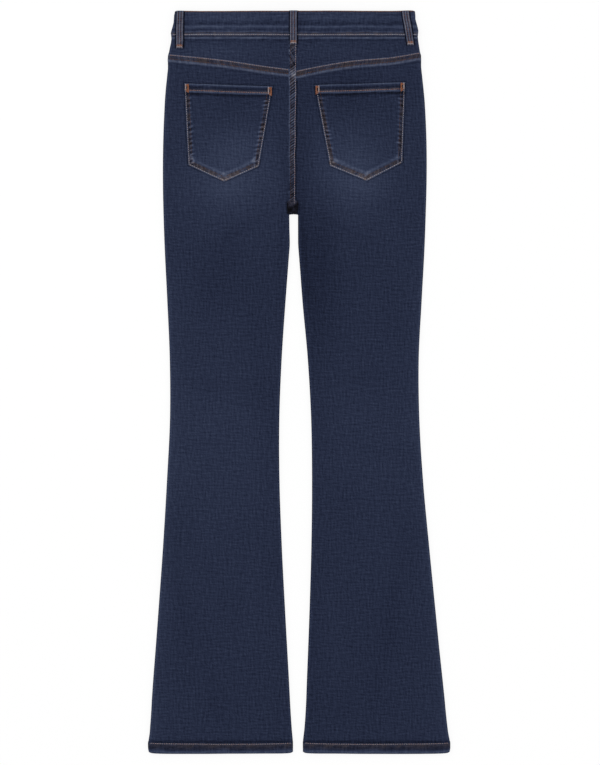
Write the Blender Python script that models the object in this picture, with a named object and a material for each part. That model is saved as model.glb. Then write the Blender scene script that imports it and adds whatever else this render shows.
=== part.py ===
"""Flared high-waisted jeans, laid flat with their back upwards.

X runs across the garment, towards the wearer's right side, Y runs from the hems to the waist and
Z is up. The origin is on the resting surface, under the middle of the garment's box.
Every piece of cloth is a wall between two height sheets: its outer face and its inner face.
"drop" is a distance measured down the garment from the back waistband's top edge.
"""

import math

import bmesh
import bpy
import numpy as np

MM = 0.001

# Driving sizes, in metres.
LENGTH = 1.110  # back waistband's top edge to the hems
SEAT_LINE = -0.0082  # X of the centre back and centre front lines
DENIM = 0.0012  # one layer of the panels' cloth
GAP = 0.0003  # clearance where two pieces meet
BED_GAP = 0.0005  # and under a piece that lies on a panel
WAISTBAND_HEIGHT = 0.0395
WAISTBAND_WALL = 0.0029
FRONT_DIP = 0.014  # how much lower the waist is at the centre front
HALF_WAIST = 0.180
HEM_HEIGHT = 0.016
HEM_WALL = 0.0028
HEM_TOP = LENGTH - HEM_HEIGHT
CROTCH_DROP = 0.303
CROTCH_ARCH = 0.0025  # how soon the gap between the legs reaches its full width
LEG_STACK = 0.0044  # front and back of a leg pressed together, side to side
RIDGE = 0.0014  # what the seam allowances add beside each seam
HEM_STACK = 0.0062
WAIST_STACK = 0.0062
YOKE_STACK = 0.0052
SEAM_LEVEL = 0.0030  # height of the side seams above the underside
FOLD_RADIUS = 0.0040  # how far in from a seam the cloth rolls over
FOLD_RIM = 0.00035
LIFT = 0.0024  # front belt loops hold the waist this far off the surface
BUTTON_LIFT = 0.0020  # and the button this much more at the centre
BUTTON_LIFT_REACH = 0.045
LIFT_END = 0.050  # drop at which the lift starts to fade, and over what length
LIFT_FADE = 0.150
FLY_SWELL = 0.0040  # what the fly's layers add under the seat
FLY_HALF_WIDTH = 0.032
FLY_END = 0.195
SWELL_FADE = 0.075
SWELL_END = 0.100
YOKE_FADE = 0.060  # lengths over which the waist's and the hems' extra thickness fade out
HEM_FADE = 0.045
RIDGE_PLACE = 0.007  # the ridge beside a seam: its distance in from it, and its half width
RIDGE_REACH = 0.006
RIDGE_START = 0.020  # inside leg: how far below the crotch the ridge is at its full height
ROLL_ABOVE = 0.004  # the inside leg's fold begins this far above the crotch
ROLL_FADE = 0.009

# The outline, in mm: X of the four edges at each drop. The inner edges start at the crotch.
OUTLINE_COLUMNS = ("drop", "left_side", "left_inner", "right_inner", "right_side")
OUTLINE = (
    (0, -186.0, -14.3, -1.7, 173.0),
    (38, -191.0, -14.3, -1.7, 177.5),
    (75, -196.0, -14.3, -1.7, 182.0),
    (135, -200.0, -14.3, -1.7, 187.0),
    (220, -203.0, -14.3, -1.7, 190.0),
    (305, -202.0, -14.3, -1.7, 188.5),
    (360, -200.0, -15.0, -0.3, 186.5),
    (420, -197.0, -19.3, 3.8, 183.3),
    (480, -193.8, -23.8, 9.6, 179.7),
    (540, -192.2, -27.0, 14.3, 177.8),
    (600, -192.0, -29.3, 17.5, 178.8),
    (660, -194.3, -30.0, 19.2, 181.3),
    (720, -197.8, -28.8, 19.1, 186.2),
    (840, -205.1, -24.0, 17.4, 197.6),
    (960, -214.3, -17.2, 12.9, 209.7),
    (1075, -222.6, -10.8, 7.6, 222.0),
    (1096, -225.0, -9.1, 5.4, 225.2),
    (1110, -224.6, -9.1, 5.6, 225.0),
)

# Back pockets, in mm: X and drop of the five corners.
POCKET_COLUMNS = ("corner", "left_x", "left_drop", "right_x", "right_drop")
POCKET_CORNERS = (
    ("top_side", -171.7, 108.6, 158.6, 106.8),
    ("top_centre", -39.2, 113.9, 22.9, 111.8),
    ("low_side", -165.8, 230.6, 154.5, 226.9),
    ("tip", -111.8, 255.4, 101.0, 254.2),
    ("low_centre", -59.8, 232.7, 45.9, 232.2),
)
POCKET_WALL = 0.0012
POCKET_HEM = 0.014
POCKET_HEM_EXTRA = 0.0008
POCKET_HEM_STEP = 0.0009  # over what length the turned top steps down
POCKET_BODY_START = 0.25  # share of the height at which the even rows begin

# Belt loops, in mm: X of the loop at its top and bottom, and the drop of its two ends.
LOOP_COLUMNS = ("name", "face", "top_x", "bottom_x", "top_drop", "bottom_drop")
LOOPS = (
    ("belt_loop_back", "back", -8.5, -8.5, 0.0, 51.5),
    ("belt_loop_side_left", "back", -177.5, -178.5, 0.8, 56.8),
    ("belt_loop_side_right", "back", 158.3, 166.6, 1.5, 52.1),
    ("belt_loop_front_left", "front", -101.0, -103.0, 0.8, 52.0),
    ("belt_loop_front_right", "front", 85.0, 87.0, 0.8, 52.0),
)
LOOP_WIDTH = 0.011
LOOP_WALL = 0.0017
LOOP_CLEAR = 0.003  # how far a loop runs level past the waistband's edge
LOOP_RAMP = 0.006  # and over what length it then steps down
LOOP_FLAT = 0.8  # share of its width that has its full thickness
LOOP_EDGE = 0.6  # and the thickness left at its edges, as a share

# Lower edge of the yokes, in mm: its drop at each share of the way from side seam to seat seam.
YOKE_COLUMNS = ("share", "left", "right")
YOKE_LINE = (
    (0.0, 65.5, 62.6),
    (0.25, 69.9, 70.4),
    (0.5, 75.3, 73.9),
    (0.75, 83.0, 81.7),
    (1.0, 89.2, 91.7),
)
YOKE_SIDE_DROP = 0.064

SCOOP_WIDTH = 0.080  # front pocket's mouth, along the waist seam
SCOOP_DEPTH = 0.098  # and down the side
SCOOP_FACING = 0.030  # how far the facing goes on behind the front
FACING_END = 0.026  # and below it
FACING_INSET = 0.0005
FACING_CLEAR = 0.0015
FACING_COLUMNS = (0.0, 0.08, 0.16, 0.26, 0.4, 0.6, 0.8, 1.0)  # shares of its width
FACING_FALL_START = 0.008  # how far in its lower edge starts to fall, and over what width
FACING_FALL = 0.020

TAB_OVERLAP = 0.020  # the button end of the waistband, past the centre front
UNDERLAP = 0.026
TAB_RAMP = 0.012
BUTTON_DROP = 0.0338
BUTTON_PROFILE = ((0, 0.2), (6.5, 0.2), (8.2, 0.8), (8.5, 1.4), (8.1, 1.9), (4.2, 2.1), (4.0, 4.0), (0, 4.0))
BUTTON_STEPS = 24
FLY_FACING_WIDTH = 0.042
FLY_TIP_WIDTH = 0.004
FLY_CURVE_START = 0.7  # share of its length at which the facing starts to narrow
FACING_WALL = 0.0011
SHIELD_INNER = 0.022  # the fly shield's reach past the zip, and behind the facing
SHIELD_OUTER = 0.030
ZIP_HALF_WIDTH = 0.014
ZIP_STOP = 0.008
TAPE_WALL = 0.0008
CHAIN_HALF_WIDTH = 0.003
CHAIN_HEIGHT = 0.0020
SLIDER_LENGTH = 0.016
SLIDER_HALF_WIDTH = 0.004
SLIDER_HEIGHT = 0.0024
SLIDER_COLUMNS = ("share of length", "share of half width")
SLIDER_SHAPE = ((0.0, 0.7), (0.08, 0.9), (0.25, 1.0), (0.75, 0.85), (0.92, 0.7), (1.0, 0.55))

# Columns of a section, in mm from a seam where the cloth rolls over, then even steps between.
FOLD_OFFSETS = (0.0, 0.4, 1.5, 4.0, 12.0)
BACK_STEPS = 8
FRONT_STEPS = 6

# Rows of a leg panel: even over the seat, close together round the crotch, then down the leg.
SEAT_ROWS = 9
SEAT_END = 0.290
LEG_DROPS = (303, 303.3, 304, 305.5, 350, 430, 520, 610, 700, 800, 900, 1000, 1050, 1075)

SCOOP_ANGLES = (0, 18, 36, 54, 68, 79, 86, 90)
FACING_ROWS = 6
YOKE_ROWS = 4
POCKET_ROWS = 6
LOOP_ROWS = 12

# Rows of a waistband, in mm below its folded top edge, and how far that fold rounds.
WAISTBAND_DROPS = (0.0, 0.7, 2.2, 13.5, 27.0, 39.5)
WAISTBAND_ROUNDING = 0.0022
ROUNDED_EDGE = 0.55  # share of the wall left at a folded edge
HEM_ROUNDS = (0.7, 2.2, 9.0)


def ease(value):
    """Smooth step: 0 below 0, 1 above 1, level at both ends."""
    value = np.clip(value, 0.0, 1.0)
    return value * value * (3.0 - 2.0 * value)


def curve_through(at, knots, values):
    """Cubic through a table's rows, the slope at each row taken from its two neighbours."""
    slopes = np.gradient(values, knots)
    row = np.clip(np.searchsorted(knots, at, side="right") - 1, 0, len(knots) - 2)
    span = knots[row + 1] - knots[row]
    t = np.clip((at - knots[row]) / span, 0.0, 1.0)
    rise = values[row + 1] - values[row]
    start = slopes[row] * span
    end = slopes[row + 1] * span
    return values[row] + t * (start + t * (3 * rise - 2 * start - end + t * (start + end - 2 * rise)))


def outline(column, drop):
    """X of one of the four edges at the given drops."""
    table = np.array(OUTLINE) * MM
    return curve_through(drop, table[:, 0], table[:, OUTLINE_COLUMNS.index(column)])


def side_edge(side, drop):
    return outline(side + "_side", drop)


def inner_edge(side, drop):
    """The seat seam above the crotch, then the round top of the gap, then the inside leg."""
    sign = 1.0 if side == "right" else -1.0
    seam = SEAT_LINE + sign * GAP / 2
    arch = np.clip((drop - CROTCH_DROP) / CROTCH_ARCH, 0.0, 1.0)
    return seam + (outline(side + "_inner", drop) - seam) * np.sqrt(1.0 - (1.0 - arch) ** 2)


def from_sides(x, drop):
    """Distance in from the nearer side seam."""
    return np.minimum(x - side_edge("left", drop), side_edge("right", drop) - x)


def from_inner(x, drop):
    """Distance in from the inside leg seam of the leg that x is on."""
    left = inner_edge("left", drop) - x
    right = x - inner_edge("right", drop)
    return np.where(x < SEAT_LINE, left, right)


def underside(x, drop):
    """Height of the front's outer face: flat on the surface, lifted a little at the waist."""
    at_waist = 1.0 - ease((drop - LIFT_END) / LIFT_FADE)
    at_button = np.exp(-(((x - SEAT_LINE) / BUTTON_LIFT_REACH) ** 2))
    return at_waist * (LIFT + BUTTON_LIFT * at_button)


def fly_swell(x, drop):
    """What the fly's layers lift the back by: level over the fly, fading out all round."""
    across = 1.0 - ease((np.abs(x - SEAT_LINE) - FLY_HALF_WIDTH) / SWELL_FADE)
    return FLY_SWELL * across * (1.0 - ease((drop - FLY_END) / SWELL_END))


def stack(x, drop):
    """Thickness of the garment, front and back together, away from its folded edges."""
    yoke = (YOKE_STACK - LEG_STACK) * (1.0 - ease((drop - WAISTBAND_HEIGHT) / YOKE_FADE))
    hem = (HEM_STACK - LEG_STACK) * ease((drop - HEM_TOP + HEM_FADE) / HEM_FADE)
    ridge = np.exp(-(((from_sides(x, drop) - RIDGE_PLACE) / RIDGE_REACH) ** 2))
    inner_ridge = np.exp(-(((from_inner(x, drop) - RIDGE_PLACE) / RIDGE_REACH) ** 2))
    ridge = ridge + ease((drop - CROTCH_DROP) / RIDGE_START) * inner_ridge
    spare = 1.0 - np.maximum(hem / (HEM_STACK - LEG_STACK), yoke / (YOKE_STACK - LEG_STACK))
    return LEG_STACK + yoke + hem + RIDGE * ridge * spare + fly_swell(x, drop)


def roll(x, drop):
    """0 at a seam's edge and 1 beyond the fold's radius, along a quarter circle."""
    t = np.clip(from_sides(x, drop) / FOLD_RADIUS, 0.0, 1.0)
    side = np.sqrt(1.0 - (1.0 - t) ** 2)
    t = np.clip(from_inner(x, drop) / FOLD_RADIUS, 0.0, 1.0)
    inner = np.sqrt(1.0 - (1.0 - t) ** 2)
    below_crotch = ease((drop - CROTCH_DROP + ROLL_ABOVE) / ROLL_FADE)
    return side * (1.0 - below_crotch * (1.0 - inner))


def back_heights(x, drop, total, wall):
    """Outer and inner heights of a piece on the upper side, rolled down at the seams."""
    seam = underside(x, drop) + SEAM_LEVEL + GAP / 2
    outer = seam + FOLD_RIM + (underside(x, drop) + total - seam - FOLD_RIM) * roll(x, drop)
    return outer, np.maximum(outer - wall, seam)


def front_heights(x, drop, wall, raised=0.0):
    """Outer and inner heights of a piece on the lower side, rolled up at the seams."""
    seam = underside(x, drop) + SEAM_LEVEL - GAP / 2
    outer = seam - FOLD_RIM - (seam - FOLD_RIM - underside(x, drop)) * roll(x, drop)
    inner = np.minimum(outer + wall, seam)
    return outer + raised, inner + raised


def back_surface(x, drop):
    """Outer height of the back: waistband, yokes and panels."""
    total = np.where(drop < WAISTBAND_HEIGHT, WAIST_STACK + fly_swell(x, drop), stack(x, drop))
    return back_heights(x, drop, total, DENIM)[0]


def section_columns(start, end, middle_steps):
    """X of every column from edge to edge: close beside both edges, even between them."""
    near = np.array(FOLD_OFFSETS) * MM
    none = np.zeros_like(near)
    steps = np.arange(1, middle_steps) / middle_steps
    from_start = np.concatenate((near, np.full_like(steps, near[-1]), none))
    from_end = np.concatenate((none, np.full_like(steps, near[-1]), near[::-1]))
    share = np.concatenate((none, steps, none + 1.0))
    sign = np.sign(end - start)
    return start + sign * from_start + (end - start - sign * (from_start + from_end)) * share


def even_columns(start, end, steps):
    return start + (end - start) * np.linspace(0.0, 1.0, steps + 1)


def follow(start_of, end_of, drop_of, rows, middle_steps):
    """X and drop of a grid whose rows bend with drop_of and whose ends stay on two edges."""
    drop = rows[:, None]
    x = section_columns(start_of(drop), end_of(drop), middle_steps)
    for _ in range(3):
        drop = drop_of(x)
        x = section_columns(start_of(drop), end_of(drop), middle_steps)
    return x, drop_of(x)


def make_material(name, color, roughness=0.9, metallic=0.0):
    material = bpy.data.materials.new(name)
    material.use_nodes = True
    shader = material.node_tree.nodes["Principled BSDF"]
    shader.inputs["Base Color"].default_value = (*color, 1.0)
    shader.inputs["Roughness"].default_value = roughness
    shader.inputs["Metallic"].default_value = metallic
    material.diffuse_color = (*color, 1.0)
    return material


def finish(name, mesh, material):
    mesh.materials.append(material)
    mesh.shade_smooth()
    mesh.set_sharp_from_angle(angle=math.radians(40))
    piece = bpy.data.objects.new(name, mesh)
    bpy.context.scene.collection.objects.link(piece)
    piece.parent = bpy.data.objects["flared_jeans"]
    return piece


def cloth(name, x, drop, heights, material):
    """A wall of cloth: a grid laid on the outer heights, extruded to the inner heights."""
    rows, columns = x.shape
    y = LENGTH / 2 - np.broadcast_to(drop, x.shape)
    outer, inner = (np.stack((x, y, height), axis=-1).reshape(-1, 3) for height in heights)
    shape = bmesh.new()
    place = shape.verts.layers.int.new("place")
    bmesh.ops.create_grid(shape, x_segments=columns - 1, y_segments=rows - 1, size=1.0)
    shape.verts.ensure_lookup_table()
    for index, vert in enumerate(shape.verts):
        vert[place] = index
        vert.co = outer[index]
    made = bmesh.ops.extrude_face_region(shape, geom=shape.faces[:])
    for vert in made["geom"]:
        if isinstance(vert, bmesh.types.BMVert):
            vert.co = inner[vert[place]]
    bmesh.ops.recalc_face_normals(shape, faces=shape.faces[:])
    mesh = bpy.data.meshes.new(name)
    shape.to_mesh(mesh)
    shape.free()
    return finish(name, mesh, material)


def yoke_drop(side, x):
    """Drop of the yoke's lower edge: it dips from the side seam to the seat seam."""
    start = side_edge(side, YOKE_SIDE_DROP)
    line = np.array(YOKE_LINE)
    share = np.clip((x - start) / (SEAT_LINE - start), 0.0, 1.0)
    return curve_through(share, line[:, 0], line[:, YOKE_COLUMNS.index(side)]) * MM


def front_top(x):
    """Drop of the front waistband's top edge: lowest at the centre front."""
    return FRONT_DIP * np.clip(1.0 - ((x - SEAT_LINE) / HALF_WAIST) ** 2, 0.0, 1.0)


def front_seam(x):
    """Drop of the seam under the front waistband."""
    return front_top(x) + WAISTBAND_HEIGHT + GAP


def leg_rows(start):
    """Drops of a leg panel's level rows, from start to just above the hem."""
    seat = np.linspace(start, SEAT_END, SEAT_ROWS)
    return np.concatenate((seat, np.array(LEG_DROPS) * MM, [HEM_TOP - GAP]))


def back_panel(side, material):
    """Back of a leg, from the yoke down to the hem, along the seat seam to the crotch."""
    rows = leg_rows(YOKE_SIDE_DROP + GAP)
    bent = np.clip((SEAT_END - rows) / (SEAT_END - rows[0]), 0.0, 1.0)[:, None]
    x, drop = follow(
        lambda drop: side_edge(side, drop),
        lambda drop: inner_edge(side, drop),
        lambda x: rows[:, None] + (yoke_drop(side, x) - YOKE_SIDE_DROP) * bent,
        rows,
        BACK_STEPS,
    )
    return cloth("back_panel_" + side, x, drop, back_heights(x, drop, stack(x, drop), DENIM), material)


def scoop_offset(drop, top):
    """Distance of the front pocket's curved mouth from the side seam."""
    t = np.clip((drop - top) / SCOOP_DEPTH, 0.0, 1.0)
    return SCOOP_WIDTH * np.sqrt(1.0 - t * t)


def front_panel(side, material):
    """Front of a leg, cut away at the top corner along the pocket's mouth."""
    sign = 1.0 if side == "left" else -1.0
    top = WAISTBAND_HEIGHT + GAP + front_top(side_edge(side, WAISTBAND_HEIGHT) + sign * SCOOP_WIDTH)
    mouth = top + SCOOP_DEPTH * np.sin(np.radians(SCOOP_ANGLES))
    rows = np.concatenate((mouth[:-1], leg_rows(mouth[-1])))

    def drop_of(x):
        share = np.clip((rows[:, None] - top) / SCOOP_DEPTH, 0.0, 1.0)
        return rows[:, None] + (front_seam(x) - top) * (1.0 - share)

    x, drop = follow(
        lambda drop: side_edge(side, drop) + sign * scoop_offset(rows[:, None], top),
        lambda drop: inner_edge(side, drop),
        drop_of,
        rows,
        FRONT_STEPS,
    )
    return cloth("front_panel_" + side, x, drop, front_heights(x, drop, DENIM), material)


def pocket_facing(side, material):
    """Cloth behind the front pocket's mouth, from the side seam to behind the front panel."""
    sign = 1.0 if side == "left" else -1.0
    top = WAISTBAND_HEIGHT + GAP + front_top(side_edge(side, WAISTBAND_HEIGHT) + sign * SCOOP_WIDTH)
    share = np.linspace(0.0, 1.0, FACING_ROWS)[:, None]
    reach = scoop_offset(top + SCOOP_DEPTH * share, top) + SCOOP_FACING
    inset = FACING_INSET
    offset = inset + (reach - inset) * np.array(FACING_COLUMNS)
    x = side_edge(side, top) + sign * offset
    for _ in range(3):
        fall = ease((offset - FACING_FALL_START) / FACING_FALL)
        bottom = top + SCOOP_DEPTH - FACING_CLEAR + FACING_END * fall
        drop = front_seam(x) + (bottom - front_seam(x)) * share
        x = side_edge(side, drop) + sign * offset
    outer = underside(x, drop) + DENIM + BED_GAP
    return cloth("pocket_facing_" + side, x, drop, (outer, outer + FACING_WALL), material)


def yoke(side, material):
    """The shaped piece between the waistband and the back panel."""
    top = WAISTBAND_HEIGHT + GAP
    share = np.linspace(0.0, 1.0, YOKE_ROWS)[:, None]
    x, drop = follow(
        lambda drop: side_edge(side, drop),
        lambda drop: inner_edge(side, drop),
        lambda x: top + (yoke_drop(side, x) - top) * share,
        np.linspace(top, YOKE_SIDE_DROP, YOKE_ROWS),
        BACK_STEPS,
    )
    return cloth("yoke_" + side, x, drop, back_heights(x, drop, stack(x, drop), DENIM), material)


def round_top(below_top, outer, inner):
    """Thins a waistband towards its folded top edge, along a quarter circle."""
    t = np.clip(below_top / WAISTBAND_ROUNDING, 0.0, 1.0)
    return inner + (outer - inner) * (ROUNDED_EDGE + (1.0 - ROUNDED_EDGE) * np.sqrt(1.0 - (1.0 - t) ** 2))


def waistband_back(material):
    """The back run of the waistband, from one side fold to the other."""
    rows = np.array(WAISTBAND_DROPS)[:, None] * MM
    x = section_columns(side_edge("left", rows), side_edge("right", rows), 2 * BACK_STEPS)
    outer, inner = back_heights(x, rows, WAIST_STACK + fly_swell(x, rows), WAISTBAND_WALL)
    outer = round_top(rows, outer, inner)
    return cloth("waistband_back", x, rows, (outer, inner), material)


def waistband_front(side, material):
    """A front run of the waistband: the left end laps over the right at the centre front."""
    rows = np.array(WAISTBAND_DROPS) * MM
    end = SEAT_LINE + (TAB_OVERLAP if side == "left" else -UNDERLAP)
    lap = SEAT_LINE + TAB_OVERLAP + GAP
    x = section_columns(side_edge(side, rows[:, None]), np.full((len(rows), 1), end), FRONT_STEPS)
    if side == "right":
        ramp = np.broadcast_to((lap, lap + TAB_RAMP / 2, lap + TAB_RAMP), (len(rows), 3))
        x = np.sort(np.hstack((x, ramp)), axis=1)
    drop = rows[:, None] + front_top(x)
    lapped = 0.0 if side == "left" else 1.0 - ease((x - lap) / TAB_RAMP)
    outer, inner = front_heights(x, drop, WAISTBAND_WALL, (WAISTBAND_WALL + GAP) * lapped)
    outer = round_top(rows[:, None], outer, inner)
    return cloth("waistband_front_" + side, x, drop, (outer, inner), material)


def hem(face, side, material):
    """Half of a leg's turned-up end, from side seam to inside leg seam."""
    rows = np.array((LENGTH, *(LENGTH - np.array(HEM_ROUNDS) * MM), HEM_TOP))[::-1]
    x = section_columns(side_edge(side, rows[:, None]), inner_edge(side, rows[:, None]), FRONT_STEPS)
    drop = np.broadcast_to(rows[:, None], x.shape)
    if face == "back":
        outer, inner = back_heights(x, drop, stack(x, drop), HEM_WALL)
    else:
        outer, inner = front_heights(x, drop, HEM_WALL)
    outer = round_top(LENGTH - drop, outer, inner)
    return cloth(f"hem_{face}_{side}", x, drop, (outer, inner), material)


def back_pocket(side, material):
    """Patch pocket: straight top and sides, pointed end, thicker along its turned top."""
    columns = [POCKET_COLUMNS.index(side + name) - 1 for name in ("_x", "_drop")]
    corner = {name: np.array(places)[columns] * MM for name, *places in POCKET_CORNERS}
    u = np.linspace(0.0, 1.0, 9)[:, None]
    top = corner["top_side"] + (corner["top_centre"] - corner["top_side"]) * u
    first = corner["low_side"] + (corner["tip"] - corner["low_side"]) * 2.0 * u
    second = corner["tip"] + (corner["low_centre"] - corner["tip"]) * (2.0 * u - 1.0)
    low = np.where(u < 0.5, first, second)
    height = (corner["low_side"] - corner["top_side"])[1]
    hem_share = POCKET_HEM / height
    step = POCKET_HEM_STEP / height
    body = np.linspace(POCKET_BODY_START, 1.0, POCKET_ROWS)
    v = np.array((0.0, hem_share, hem_share + step, *body))
    grid = top + (low - top) * v[:, None, None]
    x, drop = grid[..., 0], grid[..., 1]
    extra = np.where(v < hem_share + step / 2, POCKET_HEM_EXTRA, 0.0)[:, None]
    inner = back_surface(x, drop) + BED_GAP
    return cloth("back_pocket_" + side, x, drop, (inner + POCKET_WALL + extra, inner), material)


def belt_loop(name, face, top_x, bottom_x, top_drop, bottom_drop, material):
    """Folded strip over the waistband, stepping down to the cloth under it."""
    share = np.linspace(0.0, 1.0, LOOP_ROWS)[:, None]
    across = np.array((-1.0, -LOOP_FLAT, LOOP_FLAT, 1.0))
    x = (top_x + (bottom_x - top_x) * share) * MM + across * LOOP_WIDTH / 2
    drop = np.broadcast_to((top_drop + (bottom_drop - top_drop) * share) * MM, x.shape)
    wall = LOOP_WALL * np.where(np.abs(across) < 1.0, 1.0, LOOP_EDGE)
    if face == "front":
        drop = drop + front_top(x)
        inner = underside(x, drop) - BED_GAP
        return cloth(name, x, drop, (inner - wall, inner), material)
    below = ease((drop - WAISTBAND_HEIGHT - LOOP_CLEAR) / LOOP_RAMP)
    total = (WAIST_STACK + fly_swell(x, drop)) * (1.0 - below) + stack(x, drop) * below
    inner = back_heights(x, drop, total, DENIM)[0] + BED_GAP
    return cloth(name, x, drop, (inner + wall, inner), material)


def fly_facing(material):
    """Cloth behind the left front's fly edge, rounded at its lower outer corner."""
    share = np.linspace(0.0, 1.0, 9)[:, None]
    curve = np.clip((share - FLY_CURVE_START) / (1.0 - FLY_CURVE_START), 0.0, 1.0)
    width = FLY_TIP_WIDTH + (FLY_FACING_WIDTH - FLY_TIP_WIDTH) * np.sqrt(1.0 - curve * curve)
    x = even_columns(SEAT_LINE - width, SEAT_LINE - GAP, 4)
    drop = front_seam(x) + (FLY_END - front_seam(x)) * share
    outer = underside(x, drop) + DENIM + GAP
    return cloth("fly_facing", x, drop, (outer, outer + FACING_WALL), material)


def zip_closure(tape, metal):
    """Tape with its closed chain, and the slider at its top end."""
    base = DENIM + FACING_WALL + 2 * GAP
    share = np.linspace(0.0, 1.0, 7)[:, None]
    edge = CHAIN_HALF_WIDTH + GAP
    offsets = np.array((-ZIP_HALF_WIDTH, -edge, -CHAIN_HALF_WIDTH, CHAIN_HALF_WIDTH, edge, ZIP_HALF_WIDTH))
    x = np.broadcast_to(SEAT_LINE + offsets, (7, 6))
    start = front_seam(x) + SLIDER_LENGTH + GAP
    drop = start + (FLY_END - ZIP_STOP - start) * share
    outer = underside(x, drop) + base
    chain = np.where(np.abs(offsets) <= CHAIN_HALF_WIDTH, CHAIN_HEIGHT, TAPE_WALL)
    cloth("zip_tape", x, drop, (outer, outer + chain), tape)
    shape = np.array(SLIDER_SHAPE)
    share, width = (shape[:, [SLIDER_COLUMNS.index(name)]] for name in SLIDER_COLUMNS)
    half = SLIDER_HALF_WIDTH * width
    x = even_columns(SEAT_LINE - half, SEAT_LINE + half, 2)
    drop = front_seam(x) + SLIDER_LENGTH * share
    outer = underside(x, drop) + base
    cloth("zip_slider", x, drop, (outer, outer + SLIDER_HEIGHT), metal)


def fly_shield(material):
    """Folded strip behind the zip, over both its sides."""
    share = np.linspace(0.0, 1.0, 8)[:, None]
    ends = np.ones_like(share)
    x = even_columns((SEAT_LINE - SHIELD_OUTER) * ends, (SEAT_LINE + SHIELD_INNER) * ends, 5)
    drop = front_seam(x) + (FLY_END - front_seam(x)) * share
    outer = underside(x, drop) + DENIM + FACING_WALL + SLIDER_HEIGHT + 3 * GAP
    return cloth("fly_shield", x, drop, (outer, outer + DENIM), material)


def button(material):
    """Waistband button, turned: a domed cap below and its shank up to the waistband."""
    shape = bmesh.new()
    points = [shape.verts.new((radius * MM, 0.0, height * MM)) for radius, height in BUTTON_PROFILE]
    edges = [shape.edges.new(pair) for pair in zip(points, points[1:])]
    bmesh.ops.spin(
        shape, geom=points + edges, axis=(0, 0, 1), cent=(0, 0, 0), angle=math.tau, steps=BUTTON_STEPS
    )
    bmesh.ops.remove_doubles(shape, verts=shape.verts[:], dist=0.00005)
    bmesh.ops.recalc_face_normals(shape, faces=shape.faces[:])
    mesh = bpy.data.meshes.new("button")
    shape.to_mesh(mesh)
    shape.free()
    piece = finish("button", mesh, material)
    piece.location = (SEAT_LINE, LENGTH / 2 - BUTTON_DROP, 0.0)


def build():
    for old in list(bpy.data.objects):
        bpy.data.objects.remove(old)
    garment = bpy.data.objects.new("flared_jeans", None)
    bpy.context.scene.collection.objects.link(garment)
    body = make_material("indigo_denim", (0.019, 0.025, 0.050))
    worn = make_material("worn_denim_edge", (0.036, 0.043, 0.070))
    lining_side = make_material("denim_reverse", (0.090, 0.105, 0.140))
    tape = make_material("zip_tape_cotton", (0.020, 0.024, 0.040), roughness=0.8)
    brass = make_material("aged_brass", (0.35, 0.20, 0.08), roughness=0.4, metallic=1.0)
    copper = make_material("aged_copper", (0.42, 0.20, 0.11), roughness=0.35, metallic=1.0)
    waistband_back(body)
    for side in ("left", "right"):
        yoke(side, body)
        back_panel(side, body)
        front_panel(side, body)
        waistband_front(side, body)
        pocket_facing(side, lining_side)
        back_pocket(side, body)
        hem("back", side, worn)
        hem("front", side, worn)
    for row in LOOPS:
        belt_loop(**dict(zip(LOOP_COLUMNS, row)), material=worn)
    fly_facing(lining_side)
    zip_closure(tape, brass)
    fly_shield(lining_side)
    button(copper)


build()
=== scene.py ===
import bpy
import numpy as np
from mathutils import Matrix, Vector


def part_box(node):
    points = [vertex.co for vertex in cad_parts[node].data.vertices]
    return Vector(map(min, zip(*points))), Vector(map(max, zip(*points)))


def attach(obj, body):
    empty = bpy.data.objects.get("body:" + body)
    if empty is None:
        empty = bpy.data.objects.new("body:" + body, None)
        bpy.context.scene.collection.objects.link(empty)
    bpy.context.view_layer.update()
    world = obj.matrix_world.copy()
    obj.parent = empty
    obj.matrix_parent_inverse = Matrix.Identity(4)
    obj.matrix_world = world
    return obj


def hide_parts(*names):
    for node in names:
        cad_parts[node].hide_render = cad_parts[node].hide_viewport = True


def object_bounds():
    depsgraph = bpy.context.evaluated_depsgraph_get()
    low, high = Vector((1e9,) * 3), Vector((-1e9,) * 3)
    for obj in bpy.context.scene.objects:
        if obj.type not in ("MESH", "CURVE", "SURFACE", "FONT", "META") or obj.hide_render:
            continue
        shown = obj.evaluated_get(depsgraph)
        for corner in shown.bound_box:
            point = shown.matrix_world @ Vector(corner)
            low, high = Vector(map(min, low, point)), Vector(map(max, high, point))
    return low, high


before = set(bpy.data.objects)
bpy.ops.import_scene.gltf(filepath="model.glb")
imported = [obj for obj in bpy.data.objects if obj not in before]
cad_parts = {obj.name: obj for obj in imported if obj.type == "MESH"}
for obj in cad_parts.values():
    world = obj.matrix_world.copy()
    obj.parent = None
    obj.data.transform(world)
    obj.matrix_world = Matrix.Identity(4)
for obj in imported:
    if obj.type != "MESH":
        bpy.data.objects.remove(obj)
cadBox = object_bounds()
print("frame loaded:", len(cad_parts), "solids")

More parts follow.
